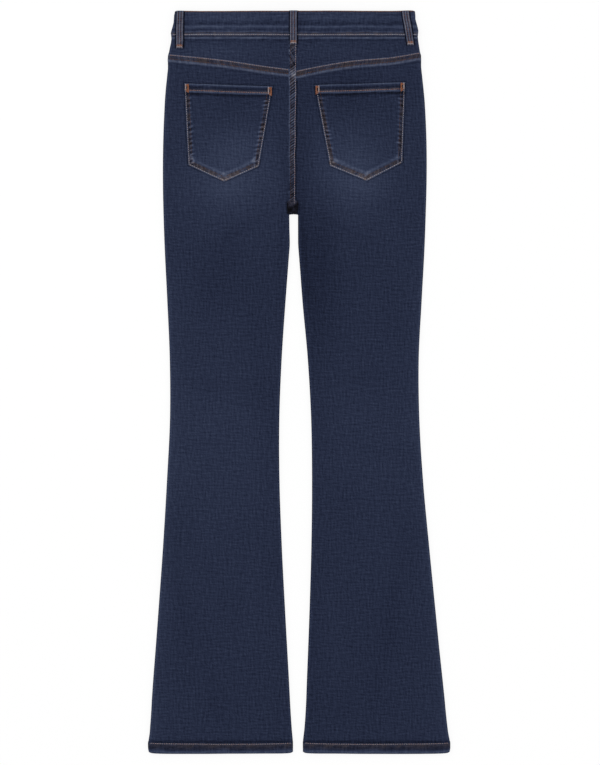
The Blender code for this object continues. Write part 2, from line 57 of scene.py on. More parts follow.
# The garment's own sizes, in metres. A drop is the distance down from the waist's top edge.
form = {
    "crotchDrop": 0.3040,
    "crotchArch": 0.0009,  # how soon the gap between the legs is full width
    "waistband": 0.0395,
    "seamDip": 0.0013,  # how much lower its seam lies at the centre back
    "hemHeight": 0.016,
    "frontDip": 0.014,  # how much lower the waist is at the centre front
    "halfWaist": 0.180,
    "denim": 0.0012,
    "gap": 0.0003,
    "bedGap": 0.0005,
    "seamLevel": 0.0030,
    "foldRadius": 0.0040,
    "foldRim": 0.00035,
    "lift": 0.0024,
    "buttonLift": 0.0020,
    "flySwell": 0.0040,
    "flyHalfWidth": 0.032,
    "flyEnd": 0.195,
    "swellFade": 0.075,
    "swellEnd": 0.100,
    "legStack": 0.0044,
    "ridge": 0.0014,
    "hemStack": 0.0062,
    "waistStack": 0.0062,
    "yokeStack": 0.0052,
    "waistWall": 0.0026,
    "edgeDrops": (0.001, 0.019, 0.037, 0.060, 0.095, 0.135, 0.180, 0.220, 0.262, 0.301,
                  0.3065, 0.350, 0.430, 0.520, 0.610, 0.700, 0.800, 0.900, 1.000, 1.050, 1.075, 1.0935, 1.1095),
}


def ease(t):  # 0 below 0, 1 above 1, level at both ends
    t = np.clip(t, 0.0, 1.0)
    return t * t * (3.0 - 2.0 * t)


def hump(distance, width):  # 1 at nothing, a bell fading out at about twice the width
    return np.exp(-((distance / width) ** 2))


def quarter(t):  # from 0 to 1 along a quarter circle, steep at first and level at the end
    return np.sqrt(np.clip(1.0 - (1.0 - np.clip(t, 0.0, 1.0)) ** 2, 0.0, 1.0))


def wobble(s, pitch, seed):
    # smooth unevenness along a length: seeded heights from -1 to 1 at every pitch, eased between
    heights = np.random.default_rng(seed).uniform(-1.0, 1.0, 991)
    place = s / pitch
    cell = np.floor(place).astype(int)
    share = ease(place - cell)
    return heights[cell % 991] * (1.0 - share) + heights[(cell + 1) % 991] * share


def mottle(x, drop, pitchX, pitchDrop, seed):
    # the same over a plane: seeded heights on a grid, eased both ways
    heights = np.random.default_rng(seed).uniform(-1.0, 1.0, (64, 64))
    across, down = x / pitchX, drop / pitchDrop
    i, j = np.floor(across).astype(int), np.floor(down).astype(int)
    u, v = ease(across - i), ease(down - j)
    near = heights[j % 64, i % 64] * (1 - u) + heights[j % 64, (i + 1) % 64] * u
    far = heights[(j + 1) % 64, i % 64] * (1 - u) + heights[(j + 1) % 64, (i + 1) % 64] * u
    return near * (1 - v) + far * v


def throughKnots(at, knots, values):
    # cubic through the knots, its slope at each one taken from the two neighbours
    slopes = np.gradient(values, knots)
    row = np.clip(np.searchsorted(knots, at, side="right") - 1, 0, len(knots) - 2)
    span = knots[row + 1] - knots[row]
    t = np.clip((at - knots[row]) / span, 0.0, 1.0)
    rise = values[row + 1] - values[row]
    start, end = slopes[row] * span, slopes[row + 1] * span
    return values[row] + t * (start + t * (3 * rise - 2 * start - end + t * (start + end - 2 * rise)))


def profile(at, table):  # straight lines through a table of (distance in mm, value) pairs
    table = np.array(table)
    return np.interp(at * 1000.0, table[:, 0], table[:, 1])


def solidEdges(*names):
    # both ends of every edge of the named solids, as an array of pairs of points
    found = []
    for name in names:
        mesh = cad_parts[name].data
        points = np.empty(len(mesh.vertices) * 3, np.float32)
        mesh.vertices.foreach_get("co", points)
        ends = np.empty(len(mesh.edges) * 2, np.int32)
        mesh.edges.foreach_get("vertices", ends)
        found.append(points.reshape(-1, 3)[ends].reshape(-1, 2, 3))
    return np.concatenate(found).astype(float)


def crossings(names, axis, places):
    # where the solids' edges cross each place along one axis: lowest and highest on the other
    ends = solidEdges(*names)
    places = np.asarray(places, float)
    first, last = ends[:, 0, axis, None], ends[:, 1, axis, None]
    level = np.abs(last - first) < 1e-7
    share = (places - first) / np.where(level, 1.0, last - first)
    other = ends[:, 0, 1 - axis, None] + share * (ends[:, 1, 1 - axis, None] - ends[:, 0, 1 - axis, None])
    hit = ~level & (share >= 0.0) & (share <= 1.0)
    return np.where(hit, other, np.inf).min(0), np.where(hit, other, -np.inf).max(0)


topY = cadBox[1].y
length = cadBox[1].y - cadBox[0].y
seatLine = (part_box("back_panel_left")[1].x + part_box("back_panel_right")[0].x) / 2
hemTop = length - form["hemHeight"]
knotDrops = np.array(form["edgeDrops"])
innerDrops = knotDrops[knotDrops > form["crotchDrop"] + 0.003]
edgeX = {
    "leftSide": crossings(("waistband_back", "yoke_left", "back_panel_left", "hem_back_left"), 1, topY - knotDrops)[0],
    "rightSide": crossings(("waistband_back", "yoke_right", "back_panel_right", "hem_back_right"), 1, topY - knotDrops)[1],
    "leftInner": crossings(("back_panel_left", "hem_back_left"), 1, topY - innerDrops)[1],
    "rightInner": crossings(("back_panel_right", "hem_back_right"), 1, topY - innerDrops)[0],
}


# How far the thick seams and hems stand out past the smooth outline, in mm: drop, left, right.
standOut = np.array((
    (0.0, -0.5, 0.1), (6.7, -0.1, -0.1), (12.7, -0.6, -0.8), (18.6, -0.9, 0.0), (24.6, -0.1, 1.0), (30.0, 0.8, 1.6), (33.5, 1.2, 0.9),
    (36.8, 0.4, 0.1), (39.5, -0.3, -0.4), (42.5, -1.0, -0.5), (48.5, -1.0, -0.5), (54.4, -0.6, -0.3), (62.0, -0.1, 0.0), (67.0, 0.9, 1.0),
    (74.0, 0.6, 0.5), (80.0, -0.4, -0.3), (86.0, -1.1, -0.7), (92.0, -1.0, -0.6), (104.0, -0.6, -0.3), (118.0, 0.1, 0.1), (134.0, 0.6, 0.6),
    (200.0, 0.6, 0.8), (400.0, 0.7, 0.6), (950.0, 0.9, 0.6), (1029.0, 1.4, 1.1), (1070.0, 0.6, 0.4), (1082.0, 0.1, 0.1), (1091.0, 0.4, 0.4),
    (1097.0, 1.0, 0.8), (1104.0, 1.0, 0.8), (1110.0, 0.2, 0.0),
)) * 0.001


# How far the cloth's inside leg lies to the left of its solid's: mm of drop, mm.
innerShift = {
    "left": ((305, 0.0), (325, -0.2), (345, -0.8), (400, -0.3), (440, 0.0)),
    "right": ((305, 1.0), (345, 0.9), (390, 0.2), (430, 0.0)),
}
towardsSeat = {"left": 1.0, "right": -1.0}  # the way along x from a side seam to the seat


def sideEdge(side, drop):  # x of a side fold: a curve through its solid's edge, and what stands out past it
    beyond = np.interp(drop, standOut[:, 0], standOut[:, 1 if side == "left" else 2])
    return throughKnots(drop, knotDrops, edgeX[side + "Side"]) - towardsSeat[side] * beyond


def innerEdge(side, drop):
    # the seat seam down to the crotch, then the inside leg, opening along a quarter circle
    seam = seatLine - towardsSeat[side] * form["gap"] / 2
    arch = quarter((drop - form["crotchDrop"]) / form["crotchArch"])
    leg = throughKnots(drop, innerDrops, edgeX[side + "Inner"])
    return seam + (leg - 0.001 * profile(drop, innerShift[side]) - seam) * arch


def fromSides(x, drop):  # distance in from the nearer side seam
    return np.minimum(x - sideEdge("left", drop), sideEdge("right", drop) - x)


def fromInner(x, drop):  # distance in from the inside leg
    return np.where(x < seatLine, innerEdge("left", drop) - x, x - innerEdge("right", drop))


def underside(x, drop):  # the front's outer face: flat, lifted a little at the waist and the button
    atWaist = 1.0 - ease((drop - 0.050) / 0.150)
    return atWaist * (form["lift"] + form["buttonLift"] * hump(x - seatLine, 0.045))


def flySwell(x, drop):  # what the fly's layers lift the seat by
    across = 1.0 - ease((np.abs(x - seatLine) - form["flyHalfWidth"]) / form["swellFade"])
    return form["flySwell"] * across * (1.0 - ease((drop - form["flyEnd"]) / form["swellEnd"]))


def stack(x, drop):  # thickness of the garment away from its folds, both layers together
    yoke = (form["yokeStack"] - form["legStack"]) * (1.0 - ease((drop - form["waistband"]) / 0.060))
    hem = (form["hemStack"] - form["legStack"]) * ease((drop - hemTop + 0.045) / 0.045)
    ridge = hump(fromSides(x, drop) - 0.007, 0.006)
    ridge = ridge + ease((drop - form["crotchDrop"]) / 0.020) * hump(fromInner(x, drop) - 0.007, 0.006)
    spare = 1.0 - np.maximum(hem / (form["hemStack"] - form["legStack"]), yoke / (form["yokeStack"] - form["legStack"]))
    return form["legStack"] + yoke + hem + form["ridge"] * ridge * spare + flySwell(x, drop)


def roll(x, drop):  # 0 at a folded edge, 1 beyond the fold's radius, along a quarter circle
    inner = quarter(fromInner(x, drop) / form["foldRadius"])
    below = ease((drop - form["crotchDrop"] + 0.004) / 0.009)
    return quarter(fromSides(x, drop) / form["foldRadius"]) * (1.0 - below * (1.0 - inner))


# Soft creases in the cloth: middle, direction in degrees from straight down, half length, half width, depth.
# A trough is negative and a ridge positive. All in mm, x from the seat seam and drop from the waist.
creases = {
    "back": (
        (14, 340, 3, 58, 4.5, -0.55),
        (22, 420, 8, 40, 6.0, -0.25),
        (-20, 352, -6, 30, 4.0, -0.22),
        (60, 318, 62, 42, 7.0, -0.22),
        (-72, 322, -58, 46, 8.0, -0.25),
        (-96, 268, -80, 34, 6.0, 0.14),
        (98, 266, 78, 36, 6.0, 0.14),
        (-150, 300, -66, 30, 7.0, -0.16),
        (150, 296, 64, 28, 7.0, -0.16),
        (-118, 560, 84, 44, 10.0, -0.20),
        (-86, 604, 72, 38, 9.0, 0.16),
        (-140, 648, -78, 36, 10.0, -0.18),
        (104, 548, -82, 42, 10.0, -0.18),
        (82, 612, -70, 36, 9.0, 0.16),
        (132, 660, 80, 40, 11.0, -0.18),
        (-170, 860, 6, 120, 12.0, -0.16),
        (-62, 890, -4, 100, 13.0, 0.16),
        (150, 880, -7, 110, 12.0, -0.16),
        (60, 930, 5, 90, 12.0, 0.14),
        (-120, 1010, 12, 60, 12.0, -0.16),
        (118, 1020, -10, 55, 12.0, -0.16),
    ),
    "front": (
        (-36, 236, -38, 40, 6.0, -0.20),
        (34, 240, 40, 42, 6.0, -0.20),
        (-60, 262, -52, 46, 7.0, 0.16),
        (62, 268, 54, 44, 7.0, 0.16),
        (-112, 300, -70, 38, 8.0, -0.18),
        (108, 292, 68, 40, 8.0, -0.18),
        (-110, 590, 82, 46, 10.0, -0.20),
        (100, 600, -80, 44, 10.0, -0.20),
        (-120, 640, -76, 40, 10.0, 0.16),
        (112, 652, 74, 40, 10.0, 0.16),
        (-140, 900, 4, 120, 13.0, -0.16),
        (140, 910, -5, 120, 13.0, -0.16),
    ),
}


def creased(x, drop, face):  # the sum of the soft creases, metres
    total = np.zeros(np.broadcast(x, drop).shape)
    for midX, midDrop, turn, halfLength, halfWidth, depth in creases[face]:
        angle = np.radians(turn)
        right, down = x - seatLine - midX * 0.001, drop - midDrop * 0.001
        along = down * np.cos(angle) + right * np.sin(angle)
        across = right * np.cos(angle) - down * np.sin(angle) + 0.0016 * wobble(along, 0.031, int(abs(midX)) + 5)
        total = total + depth * 0.001 * hump(along, halfLength * 0.001) * hump(across, halfWidth * 0.001)
    return total


def seamDip(x):  # a bell as wide as the seat, so that the waist seam lies lower at the centre back
    return form["seamDip"] * hump(x - seatLine - 0.003, 0.060)


def relief(x, drop, face):
    # creases, a slow unevenness, and the small puckers that run beside the seams
    seed = 11 if face == "back" else 47
    slow = 0.00022 * mottle(x, drop, 0.046, 0.083, seed) + 0.00012 * mottle(x, drop, 0.019, 0.027, seed + 1)
    side = np.minimum(fromSides(x, drop), np.where(drop > form["crotchDrop"], fromInner(x, drop), 1.0))
    pucker = 0.00016 * wobble(drop + 0.4 * side, 0.0085, seed + 2) * hump(side - 0.006, 0.006)
    return (creased(x, drop, face) + slow + pucker) * ease(side / 0.012)


def backSurface(x, drop, total=None):  # outer height of the upper side
    total = stack(x, drop) if total is None else total
    seam = underside(x, drop) + form["seamLevel"] + form["gap"] / 2
    return seam + form["foldRim"] + (underside(x, drop) + total - seam - form["foldRim"]) * roll(x, drop)


def frontSurface(x, drop):  # outer height of the lower side
    seam = underside(x, drop) + form["seamLevel"] - form["gap"] / 2
    return seam - form["foldRim"] - (seam - form["foldRim"] - underside(x, drop)) * roll(x, drop)


def backWall(x, drop, outer, wall):  # inner height under an outer one, never past the seam's level
    return np.maximum(outer - wall, underside(x, drop) + form["seamLevel"] + form["gap"] / 2)


def frontWall(x, drop, outer, wall):  # the same for the lower side
    return np.minimum(outer + wall, underside(x, drop) + form["seamLevel"] - form["gap"] / 2)


# How light the cloth is, as a share of a mid grey level: worn places, mm from the seat seam and the waist.
wear = {
    "base": 43.2,
    "rightLess": 1.2,
    "spots": (
        # x, drop, half width, half length, levels
        (-92, 243, 58, 60, 11.5),
        (-76, 196, 34, 22, 3.5),
        (-112, 262, 30, 26, 2.0),
        (86, 240, 56, 64, 12.5),
        (104, 252, 30, 30, 2.0),
        (4, 250, 20, 120, -6.0),
        (-110, 402, 42, 62, -3.0),
        (-60, 120, 70, 26, -2.5),
        (60, 130, 60, 26, -2.0),
        (36, 372, 34, 110, -6.0),
        (-112, 640, 92, 112, 3.6),
        (112, 640, 92, 110, 2.6),
        (-120, 62, 60, 16, 5.0),
        (60, 62, 60, 14, 4.0),
        (-110, 1000, 90, 120, -1.2),
        (110, 990, 90, 120, -1.6),
        (-48, 560, 26, 190, -1.6),
        (88, 120, 46, 46, -3.0),
        (-84, 150, 50, 60, -2.0),
    ),
}


def clothTone(x, drop, face="back"):
    # base level, the worn spots, paler strips beside the folds and a slow unevenness, with painted shade on the fold
    # edges and in the crease troughs
    tone = wear["base"] - wear["rightLess"] * ease((x - seatLine) / 0.03)
    tone = tone + np.zeros(np.broadcast(x, drop).shape)
    for midX, midDrop, halfWidth, halfLength, levels in wear["spots"]:
        across = (x - seatLine - midX * 0.001) / (halfWidth * 0.001)
        down = (drop - midDrop * 0.001) / (halfLength * 0.001)
        share = 1.0 if face == "back" or midDrop > 500 else 0.35
        tone = tone + share * levels * np.exp(-(across**2) - down**2)
    side = fromSides(x, drop)
    tone = tone + 5.0 * np.exp(-side / 0.012) * ease((drop - 0.30) / 0.2) + 1.5 * np.exp(-side / 0.010)
    inner = np.where(drop > form["crotchDrop"], fromInner(x, drop), 1.0)
    tone = tone - 2.0 * np.exp(-inner / 0.030) * ease((drop - 0.330) / 0.1)
    tone = tone + mottle(x, drop, 0.034, 0.052, 21) + 0.4 * mottle(x, drop, 0.011, 0.015, 22)
    edge = np.minimum(side, inner)
    # a paler line just inside each fold, and painted shade on its very edge where the fold rounds away
    tone = tone + 9.0 * hump(edge - 0.0022, 0.0011) - 8.0 * hump(edge, 0.0007)
    # the creases' shape in tone: paler on their ridges as wear, painted shade in their troughs
    return tone + 5.0 * creased(x, drop, face) / 0.0005


def put(x, drop, height):  # the points of a grid from x, drop and height
    return np.stack(np.broadcast_arrays(x, topY - drop, height), axis=-1)


def meshFrom(name, points, faces, looks, material, sharp=50.0):
    # one smooth object from points and faces, with its looks at every point
    mesh = bpy.data.meshes.new(name)
    mesh.from_pydata(points.reshape(-1, 3).tolist(), [], faces.tolist())
    for look, values in looks.items():
        layer = mesh.attributes.new(look, "FLOAT", "POINT")
        layer.data.foreach_set("value", np.ascontiguousarray(values, np.float32).ravel())
    mesh.shade_smooth()
    mesh.set_sharp_from_angle(angle=np.radians(sharp))
    mesh.materials.append(material)
    piece = bpy.data.objects.new(name, mesh)
    bpy.context.scene.collection.objects.link(piece)
    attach(piece, "root")
    return piece


def closedFaces(rows, columns):
    # quads of an outer grid, the same grid behind it turned round, and a rim joining their borders
    index = np.arange(rows * columns).reshape(rows, columns)
    outer = np.stack((index[:-1, :-1], index[:-1, 1:], index[1:, 1:], index[1:, :-1]), -1).reshape(-1, 4)
    ring = np.concatenate((index[0, :-1], index[:-1, -1], index[-1, :0:-1], index[:0:-1, 0]))
    after = np.roll(ring, -1)
    back = rows * columns
    rim = np.stack((after, ring, ring + back, after + back), -1)
    return np.concatenate((outer, outer[:, ::-1] + back, rim))


def signedVolume(points, faces):  # a sixth of the triple products of each quad's two triangles, added up
    a, b, c, d = (points[faces[:, k]] for k in range(4))
    return (np.einsum("ij,ij->i", a, np.cross(b, c)) + np.einsum("ij,ij->i", a, np.cross(c, d))).sum() / 6


def wall(name, x, drop, outer, inner, tone, rust, slot, node=None, sheet=True):
    # one closed wall between an outer and an inner height, in its slot's finish, standing for a node if one is given
    outer, inner = put(x, drop, outer), put(x, drop, inner)
    points = np.concatenate((outer.reshape(-1, 3), inner.reshape(-1, 3)))
    faces = closedFaces(*outer.shape[:2])
    if signedVolume(points, faces) < 0:
        faces = faces[:, ::-1]
    looks = {"tone": tone / 100.0, "rust": rust}
    looks = {look: np.tile(np.broadcast_to(values, outer.shape[:2]).ravel(), 2) for look, values in looks.items()}
    piece = meshFrom(name, points, faces, looks, finishes[slot])
    if node:
        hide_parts(node)
    if sheet:
        across = np.linalg.norm(np.diff(outer, axis=1), axis=2).sum(1).max()
        down = np.linalg.norm(np.diff(outer, axis=0), axis=2).sum(0).max()
        first, second = outer[1:, 1:] - outer[:-1, :-1], outer[1:, :-1] - outer[:-1, 1:]
        area = np.linalg.norm(np.cross(first, second), axis=2).sum() / 2
        area = float(min(max(area, 0.3 * across * down), across * down))


def linear(red, green, blue):  # a colour picked on screen, 0 to 255, as a node wants it
    value = np.array((red, green, blue)) / 255.0
    value = np.where(value <= 0.04045, value / 12.92, ((value + 0.055) / 1.055) ** 2.4)
    return (*value.tolist(), 1.0)


denimLook = {
    # screen colours of the cloth at rising tones, from the darkest seam shadow to bare threads
    "stops": ((0.00, (3, 4, 9)), (0.14, (12, 15, 27)), (0.26, (25, 31, 50)), (0.36, (38, 45, 66)),
              (0.48, (53, 61, 83)), (0.62, (72, 80, 101)), (0.84, (106, 110, 124)), (1.00, (128, 130, 138))),
    "rustTint": (1.60, 0.98, 0.56),
    "streak": 0.118,
    "cross": 0.118,
    "grain": 0.11,
    "twillPitch": 0.0011,
    "twill": 0.035,
    "roughness": 0.88,
}


def startMaterial(name):  # a new material with its nodes, links, shader and the object's own coordinates
    material = bpy.data.materials.new(name)
    material.use_nodes = True
    nodes, links = material.node_tree.nodes, material.node_tree.links
    return material, nodes, links, nodes["Principled BSDF"], nodes.new("ShaderNodeTexCoord").outputs["Object"]


def mathNode(nodes, links, operation, first, second):  # one sum of two sockets or numbers
    node = nodes.new("ShaderNodeMath")
    node.operation = operation
    for socket, value in zip(node.inputs, (first, second)):
        if isinstance(value, (int, float)):
            socket.default_value = value
        else:
            links.new(value, socket)
    return node.outputs[0]


def noiseNode(nodes, links, coordinates, scale, detail):
    # noise stretched by a different scale on each axis, from 0 to 1
    mapping = nodes.new("ShaderNodeMapping")
    mapping.inputs["Scale"].default_value = scale
    links.new(coordinates, mapping.inputs["Vector"])
    noise = nodes.new("ShaderNodeTexNoise")
    noise.inputs["Scale"].default_value = 1.0
    noise.inputs["Detail"].default_value = detail
    links.new(mapping.outputs[0], noise.inputs["Vector"])
    return noise.outputs["Fac"]


def neighbours(nodes, links, coordinates, scale, step):  # the noise here less the noise one step away
    shifted = nodes.new("ShaderNodeVectorMath")
    shifted.inputs[1].default_value = step
    links.new(coordinates, shifted.inputs[0])
    here = noiseNode(nodes, links, coordinates, scale, 0.0)
    return mathNode(nodes, links, "SUBTRACT", here, noiseNode(nodes, links, shifted.outputs[0], scale, 0.0))


def attributeNode(nodes, name):  # the value that each point of the mesh carries
    node = nodes.new("ShaderNodeAttribute")
    node.attribute_name = name
    return node.outputs["Fac"]


def tinted(nodes, links, factor, first, second):  # the first colour multiplied by the second, as far as the factor
    tint = nodes.new("ShaderNodeMix")
    tint.data_type, tint.blend_type = "RGBA", "MULTIPLY"
    for socket, value in (("Factor", factor), ("A", first), ("B", second)):
        if isinstance(value, (float, tuple)):
            tint.inputs[socket].default_value = value
        else:
            links.new(value, tint.inputs[socket])
    return tint.outputs["Result"]


def finish(nodes, links, shader, colour, height, strength, distance):  # colour and bump into the shader
    links.new(colour, shader.inputs["Base Color"])
    bump = nodes.new("ShaderNodeBump")
    bump.inputs["Strength"].default_value = strength
    bump.inputs["Distance"].default_value = distance
    links.new(height, bump.inputs["Height"])
    links.new(bump.outputs[0], shader.inputs["Normal"])


def denimMaterial(name, look):
    # the tone attribute plus slub streaks both ways, through a ramp of indigo, tinted brown by rust
    material, nodes, links, shader, coordinates = startMaterial(name)
    # each kind of slub is one thread's shade less its neighbour's, so that no broad patches are left
    streak = neighbours(nodes, links, coordinates, (370.0, 85.0, 85.0), (0.0020, 0.0, 0.0))
    cross = neighbours(nodes, links, coordinates, (85.0, 370.0, 370.0), (0.0, 0.0020, 0.0))
    grain = neighbours(nodes, links, coordinates, (480.0, 480.0, 480.0), (0.0011, 0.0011, 0.0))
    twill = nodes.new("ShaderNodeTexWave")  # the diagonal rib
    twill.bands_direction = "DIAGONAL"
    twill.inputs["Scale"].default_value = 1.0
    twill.inputs["Distortion"].default_value = 0.6
    ribs = nodes.new("ShaderNodeMapping")
    pitch = 0.3142 / look["twillPitch"]
    ribs.inputs["Scale"].default_value = (pitch, pitch * 0.62, pitch)
    links.new(coordinates, ribs.inputs["Vector"])
    links.new(ribs.outputs[0], twill.inputs["Vector"])
    level = attributeNode(nodes, "tone")
    for source, share in ((streak, look["streak"]), (cross, look["cross"]), (grain, look["grain"])):
        level = mathNode(nodes, links, "ADD", level, mathNode(nodes, links, "MULTIPLY", source, share))
    offset = mathNode(nodes, links, "SUBTRACT", twill.outputs["Fac"], 0.5)
    level = mathNode(nodes, links, "ADD", level, mathNode(nodes, links, "MULTIPLY", offset, look["twill"]))
    level = mathNode(nodes, links, "DIVIDE", level, 1.28)
    ramp = nodes.new("ShaderNodeValToRGB")
    links.new(level, ramp.inputs["Fac"])
    while len(ramp.color_ramp.elements) < len(look["stops"]):
        ramp.color_ramp.elements.new(0.5)
    for element, (place, colour) in zip(ramp.color_ramp.elements, look["stops"]):
        element.position = place
        element.color = linear(*colour)
    brown = tinted(nodes, links, attributeNode(nodes, "rust"), ramp.outputs["Color"], (*look["rustTint"], 1.0))
    height = mathNode(nodes, links, "MULTIPLY", twill.outputs["Fac"], 0.45)
    for source, share in ((streak, 0.5), (cross, 0.5), (grain, 0.6)):
        height = mathNode(nodes, links, "ADD", height, mathNode(nodes, links, "MULTIPLY", source, share))
    finish(nodes, links, shader, brown, height, 0.55, 0.0005)
    shader.inputs["Roughness"].default_value = look["roughness"]
    shader.inputs["Specular IOR Level"].default_value = 0.06
    return material


def threadMaterial():
    # twisted thread: pale grey through tan to dark brown by its own rust, with a fine twist bump
    material, nodes, links, shader, coordinates = startMaterial("topstitchThread")
    ramp = nodes.new("ShaderNodeValToRGB")
    links.new(attributeNode(nodes, "rust"), ramp.inputs["Fac"])
    ramp.color_ramp.elements.new(0.5)
    for element, colour in zip(ramp.color_ramp.elements, ((166, 163, 170), (158, 98, 66), (62, 44, 40))):
        element.color = linear(*colour)
    fibre = noiseNode(nodes, links, coordinates, (2600.0, 2600.0, 2600.0), 2.0)
    finish(nodes, links, shader, tinted(nodes, links, 0.3, ramp.outputs["Color"], fibre), fibre, 0.5, 0.0002)
    shader.inputs["Roughness"].default_value = 0.7
    shader.inputs["Specular IOR Level"].default_value = 0.3
    return material


def plainMaterial(name, colour, roughness, metallic, scale, amount):
    # one colour broken up by noise in its value and roughness, for tape and metal
    material, nodes, links, shader, coordinates = startMaterial(name)
    patches = noiseNode(nodes, links, coordinates, scale, 4.0)
    ramp = nodes.new("ShaderNodeValToRGB")
    links.new(patches, ramp.inputs["Fac"])
    dark = tuple(int(c * (1.0 - amount)) for c in colour)
    for element, place, shade in zip(ramp.color_ramp.elements, (0.3, 0.7), (dark, colour)):
        element.position, element.color = place, linear(*shade)
    rough = mathNode(nodes, links, "ADD", mathNode(nodes, links, "MULTIPLY", patches, 0.2), roughness - 0.1)
    links.new(rough, shader.inputs["Roughness"])
    shader.inputs["Metallic"].default_value = metallic
    finish(nodes, links, shader, ramp.outputs["Color"], patches, 0.3, 0.0001)
    return material


reverseStops = tuple((place, tuple(int(c * 0.8 + 52) for c in colour)) for place, colour in denimLook["stops"])
finishes = {
    "denim": denimMaterial("indigoDenim", denimLook),
    "worn_denim": denimMaterial("wornDenim", {**denimLook, "roughness": 0.84}),
    "denim_reverse": denimMaterial("denimReverse", {**denimLook, "stops": reverseStops}),
    "thread": threadMaterial(),
    "zip_metal": plainMaterial("agedBrass", (150, 122, 82), 0.42, 1.0, (900.0, 900.0, 900.0), 0.35),
    "button_metal": plainMaterial("agedCopper", (156, 120, 92), 0.38, 1.0, (700.0, 700.0, 700.0), 0.40),
    "tape": plainMaterial("zipTape", (40, 44, 58), 0.85, 0.0, (300.0, 2200.0, 300.0), 0.25),
}
print("materials ready")

# leg panels
panelGrid = {
    "nearEdge": (0.0, 0.06, 0.2, 0.45, 0.8, 1.3, 1.9, 2.6, 3.3, 4.2, 5.5, 7.2, 9.5, 12.5, 16.0),  # mm in from a seam
    "middleSteps": 40,
    "seatRows": 54,
    "seatEnd": 0.290,
}


def edgeColumns(start, end, steps=None):
    # x of every column: close together beside both edges, even between
    near = np.array(panelGrid["nearEdge"]) * 0.001
    steps = panelGrid["middleSteps"] if steps is None else steps
    none = np.zeros_like(near)
    middle = np.arange(1, steps) / steps
    fromStart = np.concatenate((near, np.full_like(middle, near[-1]), none))
    fromEnd = np.concatenate((none, np.full_like(middle, near[-1]), near[::-1]))
    share = np.concatenate((none, middle, none + 1.0))
    sign = np.sign(end - start)
    return start + sign * fromStart + (end - start - sign * (fromStart + fromEnd)) * share


def bentGrid(startOf, endOf, dropOf, rows, steps=None):
    # x and drop of a grid whose rows bend with dropOf and whose ends stay on two edges
    drop = rows[:, None]
    for _ in range(4):
        x = edgeColumns(startOf(drop), endOf(drop), steps)
        drop = dropOf(x)
    return edgeColumns(startOf(drop), endOf(drop), steps), drop


def seamLine(side):
    # the yoke's lower edge, read off its solid at ten places from side to seat, as x and drop
    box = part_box("yoke_" + side)
    outer, centre = (box[0].x, box[1].x) if side == "left" else (box[1].x, box[0].x)
    places = np.linspace(outer + np.sign(centre - outer) * 0.0035, centre - np.sign(centre - outer) * 0.0006, 10)
    drops = topY - crossings(("yoke_" + side,), 0, places)[0]
    order = np.argsort(places)
    return places[order], drops[order]


seamLines = {side: seamLine(side) for side in ("left", "right")}


def yokeDrop(side, x):  # drop of the yoke's lower edge at x
    return throughKnots(x, *seamLines[side])


def legRows(start):
    # drops of a leg's rows: even over the seat, close at the crotch and just above the hem
    crotch = form["crotchDrop"]
    return np.concatenate((
        np.linspace(start, panelGrid["seatEnd"], panelGrid["seatRows"]),
        np.linspace(panelGrid["seatEnd"], crotch - 0.0005, 6)[1:],
        crotch + np.array((0.0, 0.0001, 0.0003, 0.0007, 0.0013, 0.002, 0.0026, 0.0034, 0.005)),
        np.linspace(crotch + 0.009, hemTop - 0.009, 158),
        hemTop - np.array((7.5, 6.4, 5.5, 4.7, 4.0, 3.2, 2.5, 1.8, 1.1, 0.3)) * 0.001,
    ))


def shadowAboveHem(drop):  # painted shadow: the cloth darkened in two lines just above where the hem begins
    return -9.0 * hump(drop - hemTop + 0.0012, 0.0016) - 9.0 * hump(drop - hemTop + 0.0028, 0.0022)


def backPanel(side):
    rows = legRows(0.0643)
    bent = np.clip((panelGrid["seatEnd"] - rows) / (panelGrid["seatEnd"] - rows[0]), 0.0, 1.0)[:, None]
    x, drop = bentGrid(
        lambda drop: sideEdge(side, drop),
        lambda drop: innerEdge(side, drop),
        lambda x: rows[:, None] + (yokeDrop(side, x) + form["gap"] - rows[0]) * bent,
        rows,
    )
    outer = backSurface(x, drop)
    inner = backWall(x, drop, outer, form["denim"])
    outer = np.maximum(outer + relief(x, drop, "back"), inner + 0.0001)
    tone = clothTone(x, drop) + shadowAboveHem(drop)
    wall("backPanel_" + side, x, drop, outer, inner, tone, 0.0, "denim", node="back_panel_" + side)


def frontTop(x):  # drop of the front waistband's top edge, lowest at the centre
    return form["frontDip"] * np.clip(1.0 - ((x - seatLine) / form["halfWaist"]) ** 2, 0.0, 1.0)


def frontSeam(x):  # drop of the seam under the front waistband
    return frontTop(x) + form["waistband"] + form["gap"]


scoop = {"width": 0.080, "depth": 0.098, "facing": 0.030, "facingEnd": 0.026, "wall": 0.0011}


def scoopTop(side):
    sign = towardsSeat[side]
    corner = sideEdge(side, np.array(form["waistband"])) + sign * scoop["width"]
    return form["waistband"] + form["gap"] + frontTop(corner)


def scoopOffset(drop, top):  # the mouth's distance from the side seam, along a quarter ellipse
    t = np.clip((drop - top) / scoop["depth"], 0.0, 1.0)
    return scoop["width"] * np.sqrt(1.0 - t * t)


def mouthDistance(x, drop, side):
    # distance inside the front pocket's mouth, about square to its curve
    top = scoopTop(side)
    inward = np.abs(x - sideEdge(side, drop)) / scoop["width"]
    down = (drop - top) / scoop["depth"]
    return (np.hypot(inward, down) - 1.0) * 0.5 * (scoop["width"] + scoop["depth"])


fly = {"stitchWidth": 0.037, "stitchEnd": 0.182, "bend": 0.70}


